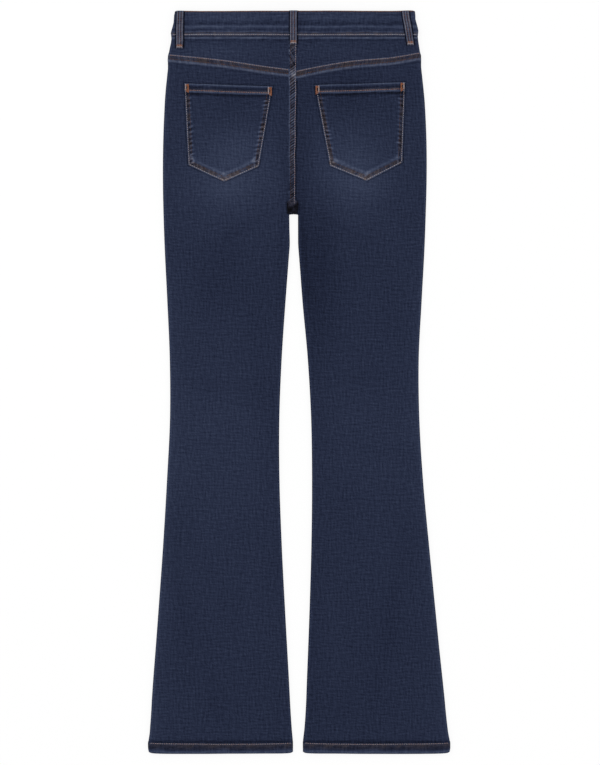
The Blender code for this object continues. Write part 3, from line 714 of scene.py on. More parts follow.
def frontTone(x, drop):
    # the front's own fades: thighs, and whisker lines fanning from the crotch
    tone = clothTone(x, drop, "front")
    for side, sign in (("left", -1.0), ("right", 1.0)):
        thigh = hump((x - seatLine) * sign - 0.105, 0.062) * hump(drop - 0.40, 0.17)
        tone = tone + 9.0 * thigh
        for count in range(4):
            right = (x - seatLine) * sign - 0.075
            level = drop - 0.235 - 0.026 * count + right * (0.34 - 0.05 * count)
            fade = hump(right, 0.050) * hump(level + 0.002 * wobble(right, 0.02, 61 + count), 0.0045)
            tone = tone + 3.5 * fade
    return tone


def frontPanel(side):
    sign = towardsSeat[side]
    top = scoopTop(side)
    mouth = top + scoop["depth"] * np.sin(np.radians((0, 6, 12, 18, 24, 30, 36, 42, 48, 54, 60, 65, 70, 75, 79, 83, 86, 88.5, 90)))
    leg = legRows(mouth[-1])
    rows = np.concatenate((mouth[:-1], leg[:52:2], leg[52:]))

    def dropOf(x):
        share = np.clip((rows[:, None] - top) / scoop["depth"], 0.0, 1.0)
        return rows[:, None] + (frontSeam(x) - top) * (1.0 - share)

    x, drop = bentGrid(
        lambda drop: sideEdge(side, drop) + sign * scoopOffset(rows[:, None], top),
        lambda drop: innerEdge(side, drop),
        dropOf,
        rows,
        30,
    )
    outer = frontSurface(x, drop)
    inner = frontWall(x, drop, outer, form["denim"])
    raised = -relief(x, drop, "front") * ease(drop / 0.24)
    outer = np.minimum(np.maximum(outer + raised, 0.0), inner - 0.0001)
    tone = frontTone(x, drop) + shadowAboveHem(drop)
    lip = np.where(drop < top + scoop["depth"] + 0.01, mouthDistance(x, drop, side), 1.0)
    tone = tone + 16.0 * hump(lip - 0.0008, 0.0016) - 4.0 * hump(lip - 0.011, 0.003) + 3.0 * hump(lip - 0.005, 0.003)
    tone = tone + 8.0 * hump(drop - frontSeam(x) - 0.002, 0.0014) - 4.0 * hump(drop - frontSeam(x) - 0.0055, 0.002)
    rust = 0.45 * hump(lip - 0.0045, 0.0030)
    wall("frontPanel_" + side, x, drop, outer, inner, tone, rust, "denim", node="front_panel_" + side)


for side in ("left", "right"):
    backPanel(side)
    frontPanel(side)
print("leg panels made")

# yokes and the felled seam under them
yokeGrid = {"rows": 22, "ridgeTop": 34.0}


def yoke(side):
    top = form["waistband"] + form["gap"]
    share = np.concatenate((np.linspace(0.0, 0.24, 12), np.linspace(0.30, 1.0, yokeGrid["rows"] - 12)))[:, None]
    x, drop = bentGrid(
        lambda drop: sideEdge(side, drop),
        lambda drop: innerEdge(side, drop),
        lambda x: top + (yokeDrop(side, x) - top) * share,
        top + 0.026 * share[:, 0],
        60,
    )
    outer = backSurface(x, drop)
    inner = backWall(x, drop, outer, form["denim"])
    below = drop - top - seamDip(x)
    along = wobble(x, 0.006, 71)
    raised = 0.00040 * hump(below - 0.0013, 0.0012) * (1.0 + 0.5 * along)
    outer = np.maximum(outer + relief(x, drop, "back") + raised, inner + 0.0001)
    tone = clothTone(x, drop) + yokeGrid["ridgeTop"] * hump(below - 0.0012, 0.0013) * (1.0 + 0.30 * along)
    # painted shade in a line a little below the pale ridge under the waist seam
    tone = tone - 6.0 * hump(below - 0.0045, 0.0018) + 4.0 * wobble(x + drop, 0.009, 72) * hump(below - 0.004, 0.005)
    wall("yoke_" + side + "_cloth", x, drop, outer, inner, tone, 0.0, "denim", node="yoke_" + side)


felledSeam = {
    "width": 0.0127,
    "second": 0.0076,  # the inner row of stitches
    "beside": 0.0030,  # the strip of cloth beside it, painted with dark shadow lines
    "raise": 0.00095,
    "pucker": 0.00022,
    "pitch": 0.0036,
    "slant": 0.45,
    "contrast": 5.0,
    # distance from the upper edge in mm, level; the dark levels just outside both edges are painted shadow
    "tone": ((-3.0, 46), (-2.2, 50), (-1.2, 41), (-0.3, 38), (0.0, 50), (0.9, 74), (2.1, 70), (3.3, 47), (5.0, 45), (6.8, 48), (8.4, 56), (9.8, 72), (11.0, 76),
             (12.1, 62), (13.2, 44), (14.0, 36), (15.4, 41), (16.2, 43)),
    "rust": ((0.0, 0.0), (1.3, 0.2), (2.3, 0.5), (3.6, 0.9), (6.6, 0.9), (8.4, 0.6), (9.9, 0.0), (12.0, 0.0)),
}


def felledBand(t, s, look, seed, surface, width):
    # a raised strip: rounded shoulders, slanting puckers between its two rows of stitches, and flat cloth beside it
    # with painted shadow lines from the table
    inside = np.clip(np.minimum(t, width - t), 0.0, None)
    shoulder = np.sqrt(np.clip(1.0 - (1.0 - np.clip(inside / 0.0014, 0.0, 1.0)) ** 2, 0.0, 1.0))
    between = ease(t / 0.003) * ease((width - t) / 0.0025)
    slant = s + look["slant"] * t + 0.0010 * wobble(s, 0.017, seed)
    pitch = look["pitch"]
    pucker = wobble(slant, pitch * 0.5, seed + 1) * 0.55 + 0.75 * np.sin(2 * np.pi * slant / pitch + 2.0 * wobble(s, 0.03, seed + 2)) * (1.0 + 0.5 * wobble(s, 0.008, seed + 8))
    fine = wobble(s + 0.3 * t, 0.0017, seed + 3) * (1.0 + 0.6 * wobble(t + 0.2 * s, 0.0019, seed + 5))
    outer = surface + 0.00012 + look["raise"] * shoulder + (look["pucker"] * pucker + 0.00008 * fine) * between
    outer = outer - (0.00035 * hump(t - 0.0021, 0.0009) + 0.00035 * hump(t - look["second"], 0.0009)) * shoulder
    at = t * look["width"] / width
    at = np.where(t > width, look["width"] + t - width, np.where(t < 0.0, t, at))
    rubbed = hump(t - 0.0012, 0.0016) + hump(t - width + 0.0026, 0.0018)
    tone = profile(at, look["tone"]) + look["contrast"] * pucker * between + 6.5 * fine * between + 4.0 * wobble(s, 0.0045, seed + 6) * rubbed
    rust = profile(at, look["rust"]) * (0.7 + 0.4 * wobble(s, 0.010, seed + 4)) - 0.35 * pucker * between
    return outer, tone, np.clip(rust, 0.0, 1.2) * np.where(inside > 0.0, 1.0, 0.0)


def yokeBand(side):
    # follows the yoke's lower edge from the side fold to the seat seam
    sign = towardsSeat[side]
    width, beside = felledSeam["width"], felledSeam["beside"]
    near = np.array((0.0, 0.2, 0.5, 0.9, 1.4, 2.0, 2.8)) * 0.001
    even = np.linspace(0.004, 1.0, 170)
    t = np.concatenate(((-beside, -beside * 0.6, -0.0009, -0.0002, 0.0002), np.linspace(0.0006, width - 0.0006, 19),
                        (width - 0.0002, width + 0.0002, width + 0.0009, width + beside * 0.6, width + beside)))[:, None]
    end = seatLine - sign * (0.0060 if side == "left" else 0.0030)
    drop = np.broadcast_to(0.066 + t, (len(t), len(near) + len(even)))
    for _ in range(4):
        start = sideEdge(side, drop)
        reach = np.abs(end - start)
        offset = np.where(np.arange(drop.shape[1]) < len(near), np.concatenate((near, even)), 0.003 + (reach - 0.003) * np.concatenate((near, even)))
        x = start + sign * offset
        drop = yokeDrop(side, x) - 0.0006 + t
    surface = backSurface(x, drop) + relief(x, drop, "back")
    s = np.abs(x - seatLine)
    outer, tone, rust = felledBand(t, s, felledSeam, 81 if side == "left" else 91, surface, width)
    outer = surface + (outer - surface) * (0.25 + 0.75 * ease(offset / 0.003))
    tone = tone + 0.6 * (clothTone(x, drop) - wear["base"])
    wall("yokeBand_" + side, x, drop, outer, surface - 0.0004, tone, rust, "worn_denim", sheet=False)


for side in ("left", "right"):
    yoke(side)
    yokeBand(side)

seatSeam = {
    "left": -0.0074,  # from the seat line
    "right": 0.0034,
    "start": 0.046,
    "end": 0.3036,
    "patch": 0.2825,  # where the painted shade over the join at the crotch begins
    "patchLeft": -0.0088,
    "patchRight": 0.0062,
    "beside": 0.0024,
    "width": 0.0108,
    "second": 0.0090,
    "raise": 0.00105,
    "pucker": 0.00034,
    "pitch": 0.0042,
    "slant": -0.70,
    "contrast": 25.0,
    # distance from the left edge in mm, level; the dark levels past the right edge are painted shadow beside its folded
    # edge
    "tone": ((-2.4, 44), (-1.2, 42), (-0.3, 44), (0.4, 64), (1.4, 66), (2.6, 46), (4.0, 44), (5.4, 54), (6.8, 42), (8.0, 50), (9.0, 62), (10.0, 58), (10.8, 30),
             (11.6, 18), (12.4, 25), (13.2, 38)),
    "rust": ((0.0, 0.0), (1.6, 0.0), (2.8, 0.6), (6.0, 0.9), (7.6, 0.6), (9.0, 0.15), (11.0, 0.0)),
}


def seatBand():
    # the felled seat seam from under the centre loop down to the thick join at the crotch, coloured there with painted
    # shade
    look = seatSeam
    drop = np.concatenate((np.linspace(look["start"], look["patch"] - 0.002, 250), np.linspace(look["patch"] - 0.0012, look["end"], 48)))[:, None]
    patch = ease((drop - look["patch"] + 0.001) / 0.0045)
    bulge = 0.0009 * hump(drop - 0.2890, 0.0060)
    drift = 0.0007 - 0.0016 * ease((drop - 0.060) / 0.21)  # the right side's line leans inwards going down
    left = look["left"] + (look["patchLeft"] - look["left"]) * patch - bulge * patch
    right = look["right"] + drift + (look["patchRight"] - look["right"] - drift) * patch + bulge * patch
    width = right - left
    beside = look["beside"]
    share = np.concatenate(((0.0, 0.02), np.linspace(0.05, 0.95, 21), (0.98, 1.0)))[None, :]
    t = np.concatenate((np.broadcast_to((-beside, -beside / 2, -0.0004), (len(drop), 3)), share * width,
                        width + np.broadcast_to((0.0004, beside / 2, beside), (len(drop), 3))), axis=1)
    x = seatLine + left + t + 0.0005 * wobble(drop, 0.024, 101)
    drop = np.broadcast_to(drop, x.shape)
    surface = backSurface(x, drop)
    outer, tone, rust = felledBand(t, -drop, look, 103, surface, width)
    plain = profile(t / 0.001, look["tone"])
    tone = plain + (tone - plain) * (1.0 - 0.75 * ease((0.092 - drop) / 0.012)) * (1.0 - 0.45 * ease((drop - 0.215) / 0.03))
    # painted shade over the join at the crotch: near black at its lower end, darker at both edges and outside the band,
    # with a paler line and pale specks, brown by its rust
    inset = (x - seatLine) / 0.001
    deep = ease((drop - 0.2860) / 0.0085)
    dark = 34.0 - 17.0 * deep + (9.0 + 9.0 * (1.0 - deep)) * wobble(drop * 1.2 + 0.9 * x, 0.0026, 108)
    dark = dark + (21.0 * (1.0 - deep) + 16.0 * hump(drop - 0.2955, 0.0040)) * hump(inset + 0.2 - 1.8 * (1.0 - deep), 1.3)
    dark = dark - 20.0 * hump(t / 0.001 - 0.4, 1.2) - 8.0 * hump((t - width) / 0.001 + 0.6, 1.0)
    dark = dark + 22.0 * np.clip(wobble(drop * 1.3 + 0.9 * x, 0.0013, 107), 0.1, 1.0) * hump(drop - 0.3014, 0.0011)
    inside = (t >= 0.0) & (t <= width)
    dark = np.where(inside, np.maximum(dark, 10.0), 30.0)
    # the painted shade blended in; above it the seam grows darker towards the crotch
    tone = tone * (1.0 - patch) + dark * patch - 4.0 * ease((drop - 0.20) / 0.06) * (1.0 - patch)
    crossing = hump(drop - 0.0955, 0.0058)  # the yoke's thick end pushes up under it
    right = hump(t - width + 0.0040, 0.0042)
    tone = tone + crossing * (16.0 + 44.0 * right + 20.0 * wobble(drop + 1.2 * x, 0.0024, 109)) * inside
    speckle = wobble(drop + 0.8 * x, 0.0024, 110) + 0.9 * wobble(drop - 1.6 * x, 0.0017, 111)
    tone = tone + (24.0 * hump(drop - 0.063, 0.020) + 7.0) * speckle * inside
    rust = np.clip(rust * (1.0 - patch) * (1.0 - 0.8 * crossing) + 0.55 * patch * inside, 0.0, 1.1)
    outer = outer + 0.0004 * crossing * inside + 0.0004 * patch * np.sin(np.pi * np.clip(t / width, 0.0, 1.0))
    lip = ease((look["end"] - drop) / 0.0012)
    outer = surface + (outer - surface) * (0.3 + 0.7 * lip)
    wall("seatSeam", x, drop, outer, surface - 0.0004, tone, rust, "worn_denim", sheet=False)


seatBand()
print("yokes and seams made")

# waistband
waistLook = {
    # mm below the folded top edge, level
    "tone": ((0.0, 60), (0.9, 58), (1.8, 46), (2.8, 50), (4.0, 52), (5.6, 44), (8.5, 51), (14.0, 49), (17.5, 42), (20.0, 36), (22.0, 46),
             (23.4, 64), (24.6, 58), (26.2, 46), (29.0, 38), (30.4, 52), (31.8, 58), (33.0, 42), (34.0, 60), (34.9, 84), (35.8, 62), (36.7, 42), (37.4, 50), (38.0, 44)),
    "rust": ((0.0, 0.9), (1.6, 0.6), (2.6, 0.0), (31.6, 0.0), (33.0, 0.8), (34.6, 0.1), (35.6, 0.1), (36.7, 0.5), (37.6, 0.0)),
    # mm below the edge, raise in mm
    "relief": ((0.0, 0.0), (2.2, 0.10), (4.0, -0.02), (8.0, 0.06), (14.0, 0.05), (20.0, -0.14), (23.6, 0.24), (26.5, -0.02),
               (29.0, -0.16), (32.0, 0.16), (34.6, -0.12), (36.4, 0.06), (38.0, -0.10)),
    "rounding": 0.0022,
}
# how much lower the top edge lies between the loops: mm from the seat line, mm
topSag = ((-175, 0.15), (-162, 0.6), (-140, 0.97), (-80, 0.9), (-47, 1.2), (-25, 1.55), (0, 1.5), (24, 1.42), (54, 0.9), (84, 0.6), (144, 0.8), (159, 0.5),
          (168, 0.1), (180, 0.0))
waistRows = np.concatenate((np.array((0.0, 0.08, 0.3, 0.7, 1.2, 1.7, 2.2)) * 0.001, np.linspace(0.003, form["waistband"] - 0.0002, 46), (form["waistband"],)))


def waistLooks(below, along, seed):
    # level, rust and raise of the band: long ridges that wander, and slanting drag lines
    wander = 0.0007 * wobble(along, 0.045, seed) + 0.0003 * wobble(along, 0.012, seed + 1)
    at = np.clip(below + wander * ease(below / 0.006) * ease((form["waistband"] - below) / 0.003), 0.0, form["waistband"])
    at = at * 0.038 / form["waistband"]  # the tables are for a band 38 mm high
    tone = profile(at, waistLook["tone"])
    middle = ease((below - 0.002) / 0.006) * ease((0.0385 - below) / 0.004)
    drag = wobble(along + 0.8 * below, 0.0062, seed + 2) * (1.0 + 0.5 * wobble(along, 0.033, seed + 3))
    tone = tone + 2.6 * drag * middle + 2.2 * mottle(along, below, 0.021, 0.006, seed + 4) * middle
    edge = wobble(along, 0.0034, seed + 5)
    tone = tone + 8.0 * edge * hump(below - 0.0363, 0.0013) + 5.0 * edge * hump(below - 0.0324, 0.0022)
    tone = tone + 4.5 * wobble(along, 0.009, seed + 6) * hump(below - 0.0245, 0.002)
    raised = 0.001 * profile(at, waistLook["relief"]) + 0.00009 * drag * middle
    return tone, profile(at, waistLook["rust"]) * (1.0 + 0.4 * edge), raised


def sagged(x, drop, dip=1.0):
    # lets the top edge sink between the loops, rounds off its two corners and lowers the seam at the centre back
    sink = 0.001 * profile(x - seatLine, topSag) + 0.0016 * np.exp(-fromSides(x, drop) / 0.0022)
    return drop + sink * (1.0 - ease(drop / 0.014)) + dip * seamDip(x) * ease((drop - 0.010) / 0.020)


def roundedTop(below, outer, inner):  # thins the band towards its folded edge, along a quarter circle
    t = np.clip(below / waistLook["rounding"], 0.0, 1.0)
    return inner + (outer - inner) * (0.55 + 0.45 * np.sqrt(1.0 - (1.0 - t) ** 2))


def waistTotal(x, drop):
    return form["waistStack"] + flySwell(x, drop)


def waistbandBack():
    drop = waistRows[:, None]
    x = edgeColumns(sideEdge("left", drop), sideEdge("right", drop), 250)
    outer = backSurface(x, drop, waistTotal(x, drop))
    inner = backWall(x, drop, outer, form["waistWall"])
    tone, rust, raised = waistLooks(drop, x, 121)
    outer = roundedTop(drop, outer, inner) + raised * ease(fromSides(x, drop) / 0.004)
    drop = sagged(x, drop)
    tone = tone + 4.0 * hump((x - seatLine + 0.105) / 0.05, 1.0) + 7.0 * hump(fromSides(x, drop) - 0.002, 0.0016) * ease(drop / 0.003)
    wall("waistbandBack", x, drop, outer, inner, tone, rust, "worn_denim", node="waistband_back")


tab = {"overlap": 0.020, "underlap": 0.026, "ramp": 0.012}


def waistbandFront(side):
    end = seatLine + (tab["overlap"] if side == "left" else -tab["underlap"])
    lap = seatLine + tab["overlap"] + form["gap"]
    start = sideEdge(side, waistRows)[:, None]
    share = np.concatenate((np.array((0.0, 0.0006, 0.002, 0.0045, 0.008, 0.013, 0.019, 0.026)), np.linspace(0.035, 0.99, 120), (0.995, 0.998, 1.0)))
    x = start + (end - start) * share
    drop = sagged(x, waistRows[:, None], 0.0) + frontTop(x)
    outer = frontSurface(x, drop)
    inner = frontWall(x, drop, outer, form["waistWall"])
    if side == "right":
        lapped = (form["waistWall"] + 0.0003 + form["gap"]) * (1.0 - ease((x - lap) / tab["ramp"]))
        outer, inner = outer + lapped, inner + lapped
    tone, rust, raised = waistLooks(waistRows[:, None], x, 131 if side == "left" else 141)
    outer = roundedTop(waistRows[:, None], outer, inner)
    outer = np.minimum(outer - raised * ease(fromSides(x, drop) / 0.004) * ease(np.abs(x - end) / 0.004), inner - 0.0003)
    outer = np.maximum(outer, 0.0)
    tone = tone + 14.0 * hump(np.abs(x - end), 0.0016)
    wall("waistbandFront_" + side, x, drop, outer, inner, tone, rust, "worn_denim", node="waistband_front_" + side)


waistbandBack()
for side in ("left", "right"):
    waistbandFront(side)
print("waistband made")

# belt loops
loopLook = {
    "wall": 0.0017,
    "clear": 0.003,  # how far a loop runs level past the waistband
    "ramp": 0.006,  # and over what length it steps down
    "beside": 0.0016,  # the strip of cloth along each side, painted as shadow
    # mm across from its middle, level; the darkest levels at its two edges are painted shadow
    "tone": ((-5.5, 24), (-5.0, 56), (-4.1, 104), (-3.2, 62), (-2.3, 28), (-1.3, 66), (-0.4, 86), (0.6, 70), (1.6, 26), (2.6, 70), (3.8, 92), (4.8, 56), (5.5, 16)),
    "rust": ((-5.5, 0.1), (-3.4, 0.2), (-2.3, 0.5), (-1.2, 0.15), (0.8, 0.15), (1.7, 0.5), (2.8, 0.25), (5.5, 0.2)),
}


def loopPath(node):
    # the loop's middle line read off its solid: x and drop at its top and bottom ends, and its width
    points = solidEdges(node)[:, 0]
    low, high = points[:, 1].min(), points[:, 1].max()
    ends = [points[np.abs(points[:, 1] - level) < 0.004] for level in (high, low)]
    middle = [(end[:, 0].min() + end[:, 0].max()) / 2 for end in ends]
    width = ends[0][:, 0].max() - ends[0][:, 0].min()
    return middle[0], middle[1], topY - high, topY - low, width


def beltLoop(node, face, seed):
    topX, bottomX, topDrop, bottomDrop, width = loopPath(node)
    beside = loopLook["beside"]
    share = np.concatenate(((0.0, 0.004, 0.012), np.linspace(0.025, 0.975, 80), (0.988, 0.996, 1.0)))[:, None]
    across = np.concatenate(((-1.0, -0.98, -0.93), np.linspace(-0.86, 0.86, 25), (0.93, 0.98, 1.0)))[None, :]
    if face == "back":
        topDrop = topDrop + 0.001 * float(profile(topX - seatLine, topSag))
    s = share * (bottomDrop - topDrop)
    half = width / 2 * (1.0 + 0.03 * wobble(s, 0.006, seed))
    a = across * half
    if face == "back":
        edge = np.ones_like(s) * width / 2
        a = np.concatenate((-edge - beside, -edge - beside * 0.4, a, edge + beside * 0.4, edge + beside), axis=1)
    across = a / (width / 2)
    x = topX + (bottomX - topX) * share + a + 0.0002 * wobble(s, 0.011, seed + 1)
    drop = topDrop + s + 0.0 * x
    if face == "front":
        cloth, bed = None, underside(x, drop) - form["bedGap"]
    else:
        below = ease((drop - form["waistband"] - loopLook["clear"]) / loopLook["ramp"])
        bed = backSurface(x, drop, waistTotal(x, drop) * (1.0 - below) + stack(x, drop) * below) + form["bedGap"]
        onBand = ease((form["waistband"] + seamDip(x) + 0.0012 - drop) / 0.0012)
        cloth = backSurface(x, drop, waistTotal(x, drop)) * onBand + (backSurface(x, drop) + 0.0004) * (1.0 - onBand)
        cloth = cloth + waistLooks(np.minimum(drop, form["waistband"]), x, 121)[2] * onBand - 0.0009 * hump(drop, 0.0006)
    inside = np.clip(1.0 - np.abs(across), 0.0, None) * width / 2
    crown = np.sqrt(np.clip(1.0 - (1.0 - np.clip(inside / 0.0009, 0.0, 1.0)) ** 2, 0.0, 1.0))
    end = ease(share * 30.0) * ease((1.0 - share) * 30.0)
    ridges = 0.00034 * (hump(a + 0.0040, 0.0010) + hump(a + 0.0003, 0.0011) + hump(a - 0.0037, 0.0010))
    rope = wobble(s + 0.5 * a, 0.0042, seed + 2)
    fine = wobble(s + 1.3 * a, 0.0017, seed + 3)
    thick = loopLook["wall"] * (0.42 + 0.46 * crown * (0.6 + 0.4 * end)) + (ridges + 0.00009 * rope + 0.00004 * fine) * crown * end
    sign = 1.0 if face == "back" else -1.0
    outer = np.maximum(bed + sign * thick, 0.0)
    tone = profile(a / width * 0.011, loopLook["tone"]) + 6.0 * rope + 5.5 * fine
    turned = hump(s, 0.0016) + hump(bottomDrop - topDrop - s, 0.0010)
    tack = hump(bottomDrop - topDrop - s - 0.0032, 0.0022)
    tone = tone - 14.0 * tack + 6.0 * turned
    rust = profile(a / width * 0.011, loopLook["rust"]) * (1.0 - turned) + 0.5 * tack
    if face == "back":
        shadowStrip = np.abs(across) > 1.0001
        outer = np.where(shadowStrip, cloth + 0.00012, outer)
        bed = np.where(shadowStrip, cloth - 0.0002, bed)
        # painted shadow on the strips beside the loop: darker on its right, fading away from it
        shade = np.where(a < 0.0, 15.0, 10.0) + 20.0 * ease((np.abs(a) - width / 2 - beside * 0.5) / (beside * 0.5))
        tone = np.where(shadowStrip, shade + 6.0 * fine, tone)
        rust = np.where(shadowStrip, 0.0, rust)
    name = {"back": "Back", "side_left": "SideLeft", "side_right": "SideRight", "front_left": "FrontLeft", "front_right": "FrontRight"}[node[10:]]
    wall("beltLoop" + name, x, drop, outer, bed, tone, rust, "worn_denim", node=node)


for seed, (node, face) in enumerate((("belt_loop_back", "back"), ("belt_loop_side_left", "back"), ("belt_loop_side_right", "back"),
                                     ("belt_loop_front_left", "front"), ("belt_loop_front_right", "front"))):
    beltLoop(node, face, 200 + 7 * seed)
print("belt loops made")

# back pockets
pocketLook = {
    "wall": 0.0013,
    "hemExtra": 0.0006,
    "beside": 0.0028,  # the strip of cloth round it, painted as shadow
    "whiskerPitch": 0.0067,
    # mm in from a side edge, level above the cloth's own
    "side": ((0.0, 10), (0.7, 21), (1.6, 17), (2.4, 2), (3.6, -4), (5.2, -2), (6.6, 3), (8.2, 3), (9.6, 1), (11.0, -3), (12.6, 0), (16.0, 0)),
    "sideRust": ((0.0, 0.0), (1.4, 0.15), (2.4, 0.8), (4.8, 0.85), (6.5, 0.3), (8.0, 0.0)),
    # mm in from a bottom edge
    "bottom": ((0.0, 14), (0.8, 30), (1.8, 22), (2.8, 2), (4.6, 2), (6.6, 2), (7.8, 2), (9.2, 9), (10.6, 17), (12.0, 8), (13.6, -4), (15.6, 0), (18.0, 0)),
    "bottomRust": ((0.0, 0.0), (1.4, 0.15), (2.4, 0.75), (6.4, 0.75), (8.0, 0.2), (9.4, 0.0)),
    # mm below the top edge; the dark levels from 13.8 mm down are painted shadow below the hem
    "top": ((0.0, 14), (0.6, 32), (1.5, 30), (2.7, 8), (4.2, -5), (5.8, -10), (7.3, -7), (8.6, 8), (10.0, 14), (11.2, 25), (12.2, 34), (13.1, 20), (13.8, -12),
            (14.8, -20), (16.2, -15), (17.8, -7), (20.0, 0)),
    "topRust": ((0.0, 0.0), (6.6, 0.0), (8.0, 0.5), (10.2, 0.6), (11.2, 0.25), (12.2, 0.0), (14.0, 0.0)),
    "bow": 0.0003,  # how far the two bottom edges swell outwards
    # pale dots where the turned corners show through: corner, mm towards the centre, mm up, level
    "dots": (("lowSide", 7.4, 7.2, 26), ("lowCentre", -10.2, 7.4, 22), ("lowCentre", -7.6, 10.4, 12), ("tip", -1.0, 12.0, 26)),
}


def pocketCorners(node):
    # the five corners of the pocket's solid: the point that lies furthest in each corner's direction
    points = solidEdges(node)[:, 0, :2]
    toCentre = 1.0 if node.endswith("left") else -1.0
    corners = {}
    for name, direction in (("topSide", (-1.0, 1.0)), ("topCentre", (1.0, 1.0)), ("lowSide", (-1.0, -1.0)),
                            ("tip", (0.0, -1.0)), ("lowCentre", (1.0, -1.0))):
        reach = points[:, 0] * direction[0] * toCentre + points[:, 1] * direction[1]
        corners[name] = points[reach.argmax()]
    return corners


def edgeDistance(x, y, start, end):
    # distance to the left of the line from start to end, and the length along it
    run = (end - start) / np.linalg.norm(end - start)
    right, up = x - start[0], y - start[1]
    return run[0] * up - run[1] * right, run[0] * right + run[1] * up


def bowed(s, run, corners):  # the outward swell along a bottom edge
    share = np.clip(s / np.linalg.norm(corners[run[1]] - corners[run[0]]), 0.0, 1.0)
    return pocketLook["bow"] * 4.0 * share * (1.0 - share)


def pocketShape(side, x, drop):
    # outer height, level and rust of a pocket at any place on it, and of the strip of cloth just round it, painted as
    # shadow
    look, corners = pocketLook, pockets[side]
    y = topY - drop
    flip = towardsSeat[side]
    seed = 300 if side == "left" else 340
    runs = (("topCentre", "topSide"), ("topSide", "lowSide"), ("lowSide", "tip"), ("tip", "lowCentre"), ("lowCentre", "topCentre"))
    inward, along = zip(*((flip * d, s) for d, s in (edgeDistance(x, y, corners[a], corners[b]) for a, b in runs)))
    top, outside, bottomA, bottomB, centre = inward
    bottomA, bottomB = bottomA + bowed(along[2], runs[2], corners), bottomB + bowed(along[3], runs[3], corners)
    cloth = clothTone(x, drop)
    tone, rust, raised = np.zeros_like(cloth), np.zeros_like(cloth), np.zeros_like(cloth)
    corner = ease((top - 0.0135) / 0.004)
    for count, (distance, s) in enumerate(((outside, along[1]), (centre, along[4]), (bottomA, along[2]), (bottomB, along[3]))):
        kind = "side" if count < 2 else "bottom"
        distance = np.maximum(distance, 0.0)
        drift = distance + 0.0005 * wobble(s, 0.016, seed + count) * ease(distance / 0.003)
        phase = 2 * np.pi * (s + 0.25 * distance) / look["whiskerPitch"] + 2.4 * wobble(s, 0.019, seed + 10 + count)
        swing = np.cos(phase) * (0.62 + 0.45 * wobble(s, 0.010, seed + 20 + count))
        reach = 0.0031 * (1.0 + 0.5 * wobble(s, 0.007, seed + 25 + count))
        strength = (1.0 if count < 2 else 0.35) * (corner if count < 2 else 1.0)
        ridge = np.clip(swing, 0.0, 1.0) * hump(distance - 0.0070, reach) * strength
        hollow = np.clip(-swing, 0.0, 1.0) * hump(distance - 0.0056, 0.0028) * strength
        speck = wobble(s + 0.4 * distance, 0.0016, seed + 30 + count) * (1.0 + 0.5 * wobble(distance * 1.7 + s, 0.0021, seed + 35 + count))
        inBand = ease((distance - 0.0018) / 0.001) * ease((0.0078 - distance) / 0.002) * (corner if count < 2 else 1.0)
        level = profile(drift, look[kind]) * (1.0 + 0.20 * wobble(s, 0.0037, seed + 40 + count))
        nearTop = corner if count < 2 else 1.0
        tone = np.where(np.abs(level) > np.abs(tone), level * nearTop, tone) + 46.0 * ridge - 26.0 * hollow + 11.0 * speck * inBand
        rust = np.maximum(rust, profile(drift, look[kind + "Rust"]) * (0.8 + 0.5 * wobble(s, 0.006, seed + 50 + count)))
        rust = rust - 0.6 * ridge
        raised = raised + 0.00034 * ridge - 0.00016 * hollow + 0.00007 * speck * inBand
        raised = raised + 0.00022 * hump(distance - 0.0105, 0.0022) * (0.3 if count < 2 else 1.0)
        raised = raised - 0.00030 * hump(distance - 0.0019, 0.0009)
    for name, right, up, level in look["dots"]:
        apart = np.hypot(x - corners[name][0] - flip * right * 0.001, y - corners[name][1] - up * 0.001)
        tone = tone + level * hump(apart, 0.0024)
        rust = rust * (1.0 - hump(apart, 0.003))
        raised = raised + 0.0003 * hump(apart, 0.0026)
    wave = wobble(along[0], 0.011, seed + 60)
    level = profile(np.maximum(top + 0.0004 * wave * ease(top / 0.004), 0.0), look["top"])
    puckerTop = wobble(along[0] + 0.5 * top, 0.0030, seed + 61)
    onTop = 1.0 - ease((top - 0.0175) / 0.003)
    tone = tone * (1.0 - onTop) + (level + 6.0 * puckerTop * hump(top - 0.0100, 0.0040) + 3.0 * wave) * onTop
    rust = rust * (1.0 - onTop) + profile(np.maximum(top, 0.0), look["topRust"]) * onTop * (0.9 + 0.3 * puckerTop)
    tacks = hump(np.minimum(np.abs(outside - 0.0044), np.abs(centre - 0.0044)), 0.0030) * ease((0.0155 - top) / 0.001)
    tone = tone - 24.0 * tacks * hump(top - 0.0070, 0.0060)
    raised = raised + look["hemExtra"] * (1.0 - ease((top - 0.0135) / 0.0018)) - 0.0003 * hump(top - 0.0108, 0.0009)
    raised = raised + 0.00006 * puckerTop * onTop
    nearest = np.minimum(np.minimum(top, np.minimum(outside, centre)), np.minimum(bottomA, bottomB))
    shoulder = 0.35 + 0.65 * np.sqrt(np.clip(1.0 - (1.0 - np.clip(nearest / 0.0011, 0.0, 1.0)) ** 2, 0.0, 1.0))
    sag = 0.00045 * hump(top - 0.060, 0.045) * ease(np.minimum(outside, centre) / 0.03)
    under = backSurface(x, drop) + relief(x, drop, "back")
    bed = under + form["bedGap"] * 0.5 - relief(x, drop, "back") * ease(nearest / 0.02)
    body = look["wall"] + form["bedGap"] * 0.5 + raised * ease(nearest / 0.0012) + sag
    own = 0.6 * relief(x, drop, "back") * ease(nearest / 0.02) + 0.00010 * mottle(x, drop, 0.012, 0.016, seed + 70)
    outer = bed + body * shoulder + own * ease(nearest / 0.006)
    shadowStrip = nearest < -0.00005
    outer = np.where(shadowStrip, under + 0.00014, outer)
    bed = np.where(shadowStrip, under - 0.0002, bed)
